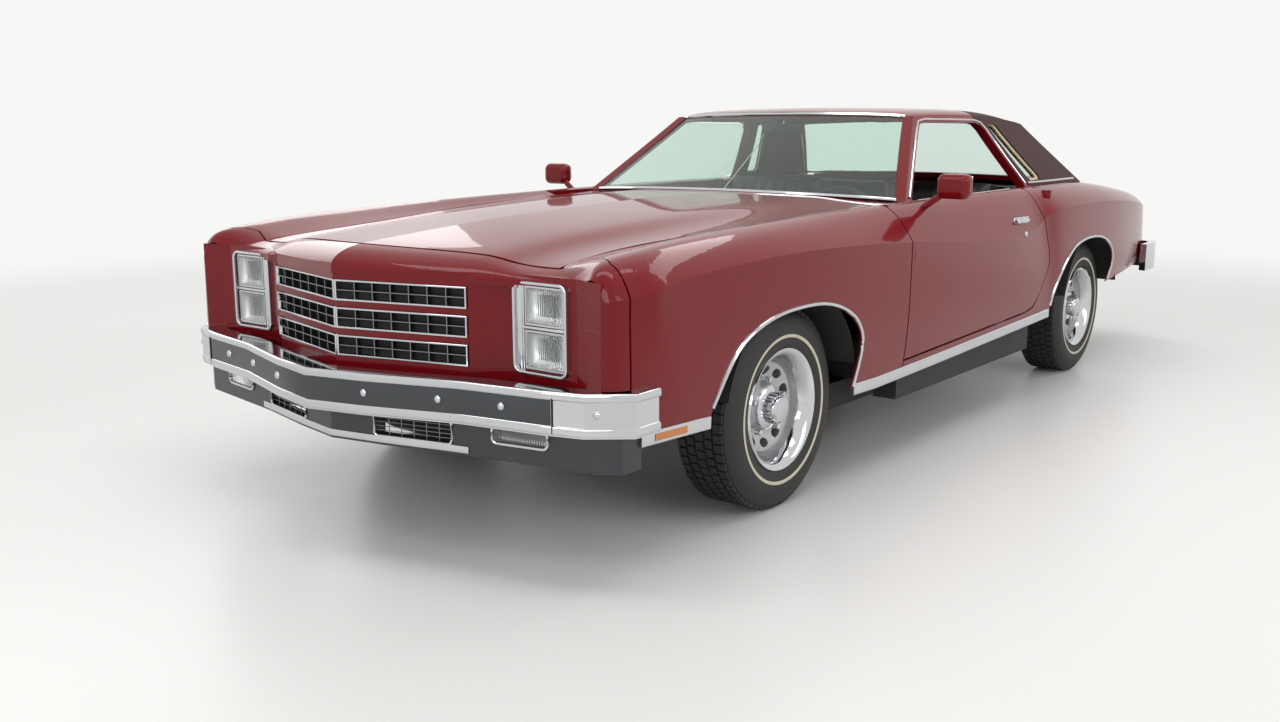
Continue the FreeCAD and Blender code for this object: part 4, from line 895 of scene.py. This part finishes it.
def foot_at(y):
    """Height of the lower edge of the body side."""
    for (y0, z0), (y1, z1) in zip(PANEL_FOOT, PANEL_FOOT[1:]):
        if y0 <= y <= y1:
            return z0 + (z1 - z0) * (y - y0) / (y1 - y0)
    return PANEL_FOOT[-1][1]


def foot_line(side, start, end, drop, out=0.0, count=12):
    spots = [start + (end - start) * n / (count - 1) for n in range(count)]
    return [(side * (SILL_X + out), y, foot_at(y) - drop) for y in spots]


for side_name, side in SIDES:
    strip(f"sill_moulding_{side_name}", foot_line(side, -1.120, 0.800, 0.010), CHROME, radius=0.005,
          flat=SILL_HALF)
    strip(f"front_sill_moulding_{side_name}", foot_line(side, -2.330, -2.000, 0.006), CHROME,
          radius=0.004, flat=SILL_HALF)
    strip(f"marker_lamp_{side_name}", foot_line(side, -2.270, -2.120, 0.006, 0.003, 4), AMBER,
          radius=0.003, flat=0.008)

# %% [markdown]
# The belt, the drip rails and the foot of the vinyl are measured in the same way.  The
# door handle is a bright plate and a grip on the door's skin.  The window surrounds follow
# the edge loops of the panes themselves.

# %% Window, roof and door mouldings
BELT_X = 0.808
RAIL_LINE = [(-0.402, 0.978), (-0.200, 1.126), (0.002, 1.274), (0.080, 1.283), (0.320, 1.283), (0.560, 1.281),
             (0.622, 1.270), (0.656, 1.238), (0.715, 1.112), (0.772, 0.992)]
HANDLE = (0.414, 0.845)
for side_name, side in SIDES:
    door_body = f"{side_name}_door"
    spots = [on_top([f"door_{side_name}"], side * BELT_X, -0.360 + n * 1.080 / 11, 0.002) for n in range(12)]
    spots = [spot for spot in found(spots) if spot.z < 1.0]
    strip(f"belt_moulding_{side_name}", spots, CHROME, door_body, radius=0.006)
    rail = found(on_side(["roof_panel", "vinyl_roof"], y, z, side, 0.002) for y, z in RAIL_LINE)
    strip(f"drip_rail_{side_name}", rail, CHROME, radius=0.005)
    base = found(on_side(["vinyl_roof"], 0.800 + n * 0.070, 0.992, side, 0.002) for n in range(11))
    if len(base) > 3:
        strip(f"vinyl_base_moulding_{side_name}", base, CHROME, radius=0.006)
    shoulder = on_top([f"quarter_panel_{side_name}"], side * 0.840, 0.870)
    near, far = sorted((side * 0.790, side * 0.862))
    soft_box(f"shoulder_fill_{side_name}", (near, 0.768, shoulder.z - 0.040),
             (far, 0.868, shoulder.z - 0.001), PAINT,
             bevel=0.004)
    seat_of_handle = on_side([f"door_{side_name}"], *HANDLE, side)
    soft_box(f"handle_plate_{side_name}", (seat_of_handle.x - 0.004, HANDLE[0] - 0.085, HANDLE[1] - 0.016),
             (seat_of_handle.x + 0.004, HANDLE[0] + 0.085, HANDLE[1] + 0.016), CHROME, door_body,
             bevel=0.0035)
    grip_x = seat_of_handle.x + side * 0.015
    soft_box(f"handle_grip_{side_name}", (grip_x - 0.006, HANDLE[0] - 0.075, HANDLE[1] - 0.009),
             (grip_x + 0.006, HANDLE[0] + 0.055, HANDLE[1] + 0.009), CHROME, door_body, bevel=0.005)
    lock = on_side([f"door_{side_name}"], HANDLE[0] + 0.02, HANDLE[1] - 0.06, side)
    barrel = cylinder(f"door_lock_{side_name}", lock, 0.012, 0.010)
    apply_modifier(barrel, "BEVEL", width=0.002, segments=2)
    dress(barrel, CHROME, door_body)


def edge_strip(name, node, keep, radius, material, body="root"):
    """A tube round the outer face of one pane, found by the direction its faces look."""
    pane = nodes[node].copy()
    pane.data = nodes[node].data.copy()
    pane.parent = None
    for key in list(pane.keys()):
        del pane[key]
    scene.collection.objects.link(pane)
    select_only(pane)
    bpy.ops.object.mode_set(mode="EDIT")
    bpy.ops.mesh.select_all(action="SELECT")
    bpy.ops.mesh.remove_doubles(threshold=0.0002)
    bpy.ops.object.mode_set(mode="OBJECT")
    pick_faces(pane, lambda centre, normal: not keep(centre, normal))
    bpy.ops.mesh.delete(type="FACE")
    bpy.ops.mesh.select_all(action="SELECT")
    bpy.ops.mesh.region_to_loop()
    bpy.ops.object.mode_set(mode="OBJECT")
    edges = [e.vertices[:] for e in pane.data.edges if e.select]
    spots = {i: pane.data.vertices[i].co.copy() for e in edges for i in e}
    bpy.data.objects.remove(pane)
    links = {}
    for a, b in edges:
        links.setdefault(a, []).append(b)
        links.setdefault(b, []).append(a)
    loops = []
    left = set(links)
    while left:
        here = left.pop()
        loop = [here]
        while True:
            following = [n for n in links[loop[-1]] if n in left]
            if not following:
                break
            left.discard(following[0])
            loop.append(following[0])
        loops.append([spots[i] for i in loop])
    loops = [loop for loop in loops if len(loop) > 3]
    parts = [strip(f"{name}_{n}", loop, material, body, radius=radius, cyclic=True) for n,
             loop in enumerate(loops)]
    return join_pieces(name, parts) if parts else None


edge_strip("windshield_moulding", "window_glass",
           lambda c, n: c.y < 0.2 and n.dot(Vector((0, -0.5, 0.85))) > 0.35, 0.009, CHROME)
edge_strip("back_window_moulding", "window_glass",
           lambda c, n: c.y > 1.02 and n.dot(Vector((0, 0.6, 0.8))) > 0.35, 0.008, CHROME)
for side_name, side in SIDES:
    edge_strip(f"opera_trim_{side_name}", "window_glass",
               lambda c, n: c.x * side > 0.4 and 0.66 < c.y < 1.0 and n.x * side > 0.5, 0.008, CREAM)

# %% [markdown]
# The wheels are silver pressed discs with oval slots, a bright trim ring and a tall
# finned centre cap.  The tyres have a narrow pale band.  One of each is made at the
# front left, and the other three are copies that ride on their own wheels.

# %% Wheels
TYRE_CENTRE = Vector([(a + b) / 2 for a, b in zip(*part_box("tyre_front_left"))])
TYRE_CENTRE.z = AXLE_Z
TYRE_R = AXLE_Z
HALF_TYRE = [(0, 0.332), (0.060, 0.3305), (0.088, 0.327), (0.101, 0.314), (0.110, 0.288), (0.1125, 0.262),
             (0.108, 0.228), (0.098, 0.202), (0.088, 0.190)]
TYRE_OUTLINE = mirrored(HALF_TYRE)
WHITEWALL = finish("pale_sidewall", (0.62, 0.58, 0.46), (0.55, 0.51, 0.40), (0.5, 0.6), scale=20)
SLOT_COUNT = 10
TREAD_BLOCKS = 64


def ring_copies(piece, count, centre, name):
    """Copies of a piece at even steps round the axle, joined to one piece."""
    parts = [piece]
    for number in range(1, count):
        twin = piece.copy()
        twin.data = piece.data.copy()
        scene.collection.objects.link(twin)
        turn = Matrix.Rotation(2 * pi * number / count, 4, "X")
        twin.data.transform(Matrix.Translation(centre) @ turn @ Matrix.Translation(-centre))
        parts.append(twin)
    return join_pieces(name, parts)


def model_tyre():
    carcass = lathe("tyre_carcass", TYRE_OUTLINE, TYRE_CENTRE, 72)
    carcass.data.materials.append(RUBBER)
    ribs = []
    for number, (x, width) in enumerate(((-0.070, 0.030), (-0.035, 0.026), (0, 0.028), (0.035, 0.026),
                                         (0.070, 0.030))):
        lean = 0.006 if number % 2 else -0.006
        block = raw_box(f"tread_{number}",
                        (TYRE_CENTRE.x + x - width / 2, TYRE_CENTRE.y - 0.0135 + lean, AXLE_Z + 0.318),
                        (TYRE_CENTRE.x + x + width / 2, TYRE_CENTRE.y + 0.0135 + lean,
                         AXLE_Z + TYRE_R - 0.0012))
        block.data.materials.append(RUBBER)
        ribs.append(block)
    tread = ring_copies(join_pieces("tread_row", ribs), TREAD_BLOCKS, TYRE_CENTRE, "tread")
    return dress(join_pieces("tyre_model", [carcass, tread]), None, "front_left_wheel")


def model_disc():
    """The pressed disc and rim, with its slots cut by boolean."""
    outline = [(-0.098, 0.200), (-0.098, 0.184), (0.0, 0.168), (0.014, 0.150), (0.002, 0.110), (0.0, 0.072),
               (-0.026, 0.072), (-0.026, 0.025), (0.050, 0.025), (0.050, 0.068), (0.030, 0.078),
               (0.022, 0.088),
               (0.026, 0.112), (0.036, 0.132), (0.040, 0.150), (0.034, 0.164), (0.056, 0.172), (0.084, 0.182),
               (0.094, 0.190), (0.098, 0.200), (0.091, 0.200), (0.084, 0.190), (-0.084, 0.190),
               (-0.091, 0.200)]
    disc = lathe("disc", outline, TYRE_CENTRE, 96)
    disc.data.materials.append(SILVER)
    cutter = cylinder("slot_cutter", TYRE_CENTRE + Vector((0.02, 0, 0.124)), 0.5, 0.2,
                      scale=(0.030, 0.046, 1))
    cutters = ring_copies(cutter, SLOT_COUNT, TYRE_CENTRE, "slot_cutters")
    apply_modifier(disc, "BOOLEAN", operation="DIFFERENCE", object=cutters, solver="EXACT")
    bpy.data.objects.remove(cutters)
    return dress(disc, None, "front_left_wheel")


TRIM_RING = [(0.060, 0.166), (0.070, 0.170), (0.092, 0.180), (0.104, 0.194), (0.106, 0.204), (0.100, 0.207),
             (0.098, 0.200), (0.088, 0.186), (0.062, 0.174)]
BAND = [(0.1105, 0.240), (0.1128, 0.242), (0.1130, 0.249), (0.1122, 0.251), (0.110, 0.2455)]
CAP = [(0.030, 0.074), (0.052, 0.074), (0.056, 0.068), (0.060, 0.050), (0.092, 0.046), (0.100, 0.040),
       (0.103, 0.020), (0.104, 0.0005), (0.050, 0.0005), (0.030, 0.060)]
CAP_FINS = 20
LUG_NUTS = 5


def model_cap():
    """The centre cap with its fins and the nuts round it."""
    cap = lathe("centre_cap", CAP, TYRE_CENTRE, 48)
    fin = raw_box("cap_fin", TYRE_CENTRE + Vector((0.058, -0.0022, 0.040)),
                  TYRE_CENTRE + Vector((0.090, 0.0022, 0.054)))
    nut = cylinder("lug_nut", TYRE_CENTRE + Vector((0.044, 0, 0.094)), 0.010, 0.024, sides=6)
    for piece in (cap, fin, nut):
        piece.data.materials.append(CHROME)
    apply_modifier(nut, "BEVEL", width=0.0015, segments=2)
    fins = ring_copies(fin, CAP_FINS, TYRE_CENTRE, "cap_fins")
    nuts = ring_copies(nut, LUG_NUTS, TYRE_CENTRE, "lug_nuts")
    return dress(join_pieces("centre_cap_model", [cap, fins, nuts]), None, "front_left_wheel")


tyre_model = model_tyre()
disc_model = model_disc()
trim_ring = dress(lathe("trim_ring_model", TRIM_RING, TYRE_CENTRE, 96), CHROME, "front_left_wheel")
pale_band = dress(lathe("pale_band_model", BAND, TYRE_CENTRE, 96), WHITEWALL, "front_left_wheel")
centre_cap = model_cap()

for end in ("front", "rear"):
    for side_name, side in SIDES:
        centre = Vector([(a + b) / 2 for a, b in zip(*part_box(f"tyre_{end}_{side_name}"))])
        centre.z = AXLE_Z
        half_turn = Matrix.Rotation(0 if side == 1 else pi, 4, "Z")
        move = Matrix.Translation(centre) @ half_turn @ Matrix.Translation(-TYRE_CENTRE)
        wheel_body = f"{end}_{side_name}_wheel"
        for model, label in ((tyre_model, "tyre"), (disc_model, "disc"), (trim_ring, "trim_ring"),
                             (pale_band, "pale_band"), (centre_cap, "centre_cap")):
            twin = copied(model, f"{label}_{end}_{side_name}_detail", move, wheel_body)
            if label == "tyre":
                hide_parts(f"tyre_{end}_{side_name}")
            if label == "disc":
                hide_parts(f"wheel_{end}_{side_name}")
for model in (tyre_model, disc_model, trim_ring, pale_band, centre_cap):
    bpy.data.objects.remove(model)

# %% [markdown]
# The seats are black vinyl with upright sewn pleats.  Each cushion starts as a box cut
# into a fine grid; its points are moved so that the face is crowned, the sides pull in
# between the corners and every seam sinks, and a subdivision surface rounds it.

# %% Seats
PLEAT = 0.062
PLEAT_DEPTH = 0.009


def padded_block(name, width, depth, height, crown):
    """A pleated cushion lying flat, centred on the origin with its base at z = 0."""
    piece = raw_box(name, (-width / 2, -depth / 2, 0), (width / 2, depth / 2, height))
    select_only(piece)
    bpy.ops.object.mode_set(mode="EDIT")
    bpy.ops.mesh.select_all(action="SELECT")
    bpy.ops.mesh.subdivide(number_cuts=39)
    bpy.ops.object.mode_set(mode="OBJECT")
    for spot in piece.data.vertices:
        across_share = 2 * spot.co.x / width
        deep_share = 2 * spot.co.y / depth
        up_share = spot.co.z / height
        edge = max(abs(across_share), abs(deep_share))
        round_off = max(0.0, edge - 0.72) / 0.28
        pull = 0.030 * (1 - abs(deep_share)) * (1 if abs(across_share) > 0.99 else 0)
        spot.co.x -= pull * across_share * 0.5
        if up_share > 0.02:
            seam = abs(cos(pi * spot.co.x / PLEAT)) ** 0.6
            inner = 1 if edge < 0.82 else max(0.0, (0.92 - edge) / 0.10)
            lift = crown * (1 - across_share ** 2) * (1 - deep_share ** 2)
            spot.co.z += up_share * (lift - PLEAT_DEPTH * (1 - seam) * inner - 0.22 * height * round_off ** 2)
            spot.co.x *= 1 - 0.03 * up_share * round_off
            spot.co.y *= 1 - 0.04 * up_share * round_off
    apply_modifier(piece, "SUBSURF", levels=1, render_levels=1)
    piece.data.materials.append(SEAT_VINYL)
    return piece


def seat(name, centre_x, width, cushion_box, back_foot, back_tall, back_thick, lean):
    """A cushion and a leaning back, joined into one padded piece."""
    (y_low, z_low), (y_high, z_high) = cushion_box
    cushion = padded_block(name, width, y_high - y_low, z_high - z_low - 0.012, 0.012)
    cushion.data.transform(Matrix.Translation((centre_x, (y_low + y_high) / 2, z_low)))
    back = padded_block(name + "_back", width, back_tall, back_thick - 0.012, 0.012)
    stand = Matrix.Rotation(radians(90 - lean), 4, "X")
    back.data.transform(Matrix.Translation((0, back_tall / 2, 0)))
    back.data.transform(Matrix.Translation((centre_x, back_foot[0] + back_thick, back_foot[1])) @ stand)
    whole = join_pieces(name, [cushion, back])
    dress(whole)
    return whole


FRONT_CUSHION = ((-0.018, 0.366), (0.480, 0.555))
for side_name, side in SIDES:
    front = seat(f"front_seat_{side_name}", side * 0.445, 0.550, FRONT_CUSHION, (0.462, 0.500), 0.490, 0.150,
                 14)
    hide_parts("front_seats")
rear_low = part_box("rear_seat")[0]
rear = seat("rear_seat_cushion", 0, 1.230,
            ((rear_low.y + 0.004, rear_low.z + 0.002), (rear_low.y + 0.330, 0.636)),
            (0.835, 0.540), 0.430, 0.130, 12)
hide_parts("rear_seat")

# %% [markdown]
# The dashboard shows through the windshield.  Two round dials and a radio panel are laid
# on the plain block.  No dial carries any lettering.

# %% Dashboard and mirrors
dash_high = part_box("dashboard")[1]
for number, x in enumerate((0.500, 0.320)):
    dial = lathe(f"dial_{number}", [(-0.006, 0.0005), (-0.006, 0.046), (0.006, 0.052), (0.008, 0.058),
                                    (-0.010, 0.060),
                                    (-0.010, 0.0005)], Vector((0, 0, 0)), 40)
    dial.data.transform(Matrix.Translation((x, dash_high.y + 0.001,
                                            dash_high.z - 0.105)) @ Matrix.Rotation(pi / 2, 4, "Z"))
    # The dials take the darker chrome: painted shade inside the cabin.
    dial.data.materials.append(SHADED_CHROME)
    dress(dial)
soft_box("radio_panel", (-0.110, dash_high.y - 0.004, dash_high.z - 0.190),
         (0.150, dash_high.y + 0.010, dash_high.z - 0.060),
         BLACK_PLASTIC, bevel=0.004)
MIRROR_FACE = finish("mirror_face", (0.8, 0.82, 0.84), (0.78, 0.8, 0.82), (0.02, 0.04), metallic=1.0)
for side_name, side in SIDES:
    low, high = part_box(f"mirror_{side_name}")
    outer = (max if side == 1 else min)(low.x, high.x)
    near, far = sorted((outer - side * 0.118, outer - side * 0.010))
    soft_box(f"mirror_face_{side_name}", (near, high.y - 0.003, high.z - 0.072),
             (far, high.y + 0.0015, high.z - 0.010),
             MIRROR_FACE, f"{side_name}_door", bevel=0.0012)
soft_box("cabin_mirror", (-0.110, -0.060, 1.215), (0.110, -0.045, 1.262), BLACK_PLASTIC, bevel=0.006)
strip("cabin_mirror_stem", [(0, -0.055, 1.255), (0, -0.030, 1.300)], SHADED_CHROME, radius=0.005)

# %% [markdown]
# At the back the tail lamps are upright red lenses in bright frames.  The bumper has the
# same lips as the front one, and the number plate is a blank plate.

# %% Tail
low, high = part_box("tail_lamps")
x_in, x_out = 0.640, 0.770
for side_name, side in SIDES:

    def tail_point(x, z):
        return Vector((side * x, high.y + 0.001, z))

    strip(f"tail_lamp_ring_{side_name}", rounded_loop(x_in, x_out, low.z, high.z, 0.010, tail_point), CHROME,
          radius=0.006, cyclic=True)
    for number in range(1, 4):
        z = low.z + (high.z - low.z) * number / 4
        strip(f"tail_lamp_bar_{number}_{side_name}", [tail_point(x_in, z), tail_point(x_out, z)], CHROME,
              radius=0.0025)
rear_low_corner, rear_high_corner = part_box("rear_bumper")
REAR_BAND_Z = 0.515


def on_rear(x, z):
    return nearest_hit(["rear_bumper"], (x, 3.2, z), (0, -1, 0))


for label, z, flat in (("upper", rear_high_corner.z - 0.014, 0.004),
                       ("lower", rear_low_corner.z + 0.014, 0.005)):
    spots = found(on_rear(-0.96 + n * 0.06, z) for n in range(33))
    spots = [spot - Vector((0, 0.001, 0)) for spot in spots]
    strip(f"rear_bumper_{label}_lip", spots, CHROME, radius=0.006, flat=flat, resolution=4)
band = found(on_rear(-0.75 + n * 0.1, REAR_BAND_Z) for n in range(16))
# The rear band carries the same painted reflection of the dark floor.
strip("rear_bumper_band", band, FLOOR_REFLECTION_GREY, radius=0.0015, flat=0.030)
PLATE_Z = 0.545
soft_box("number_plate_blank", (-0.150, rear_high_corner.y - 0.001, PLATE_Z - 0.035),
         (0.150, rear_high_corner.y + 0.001, PLATE_Z + 0.035), SILVER, bevel=0.0008)
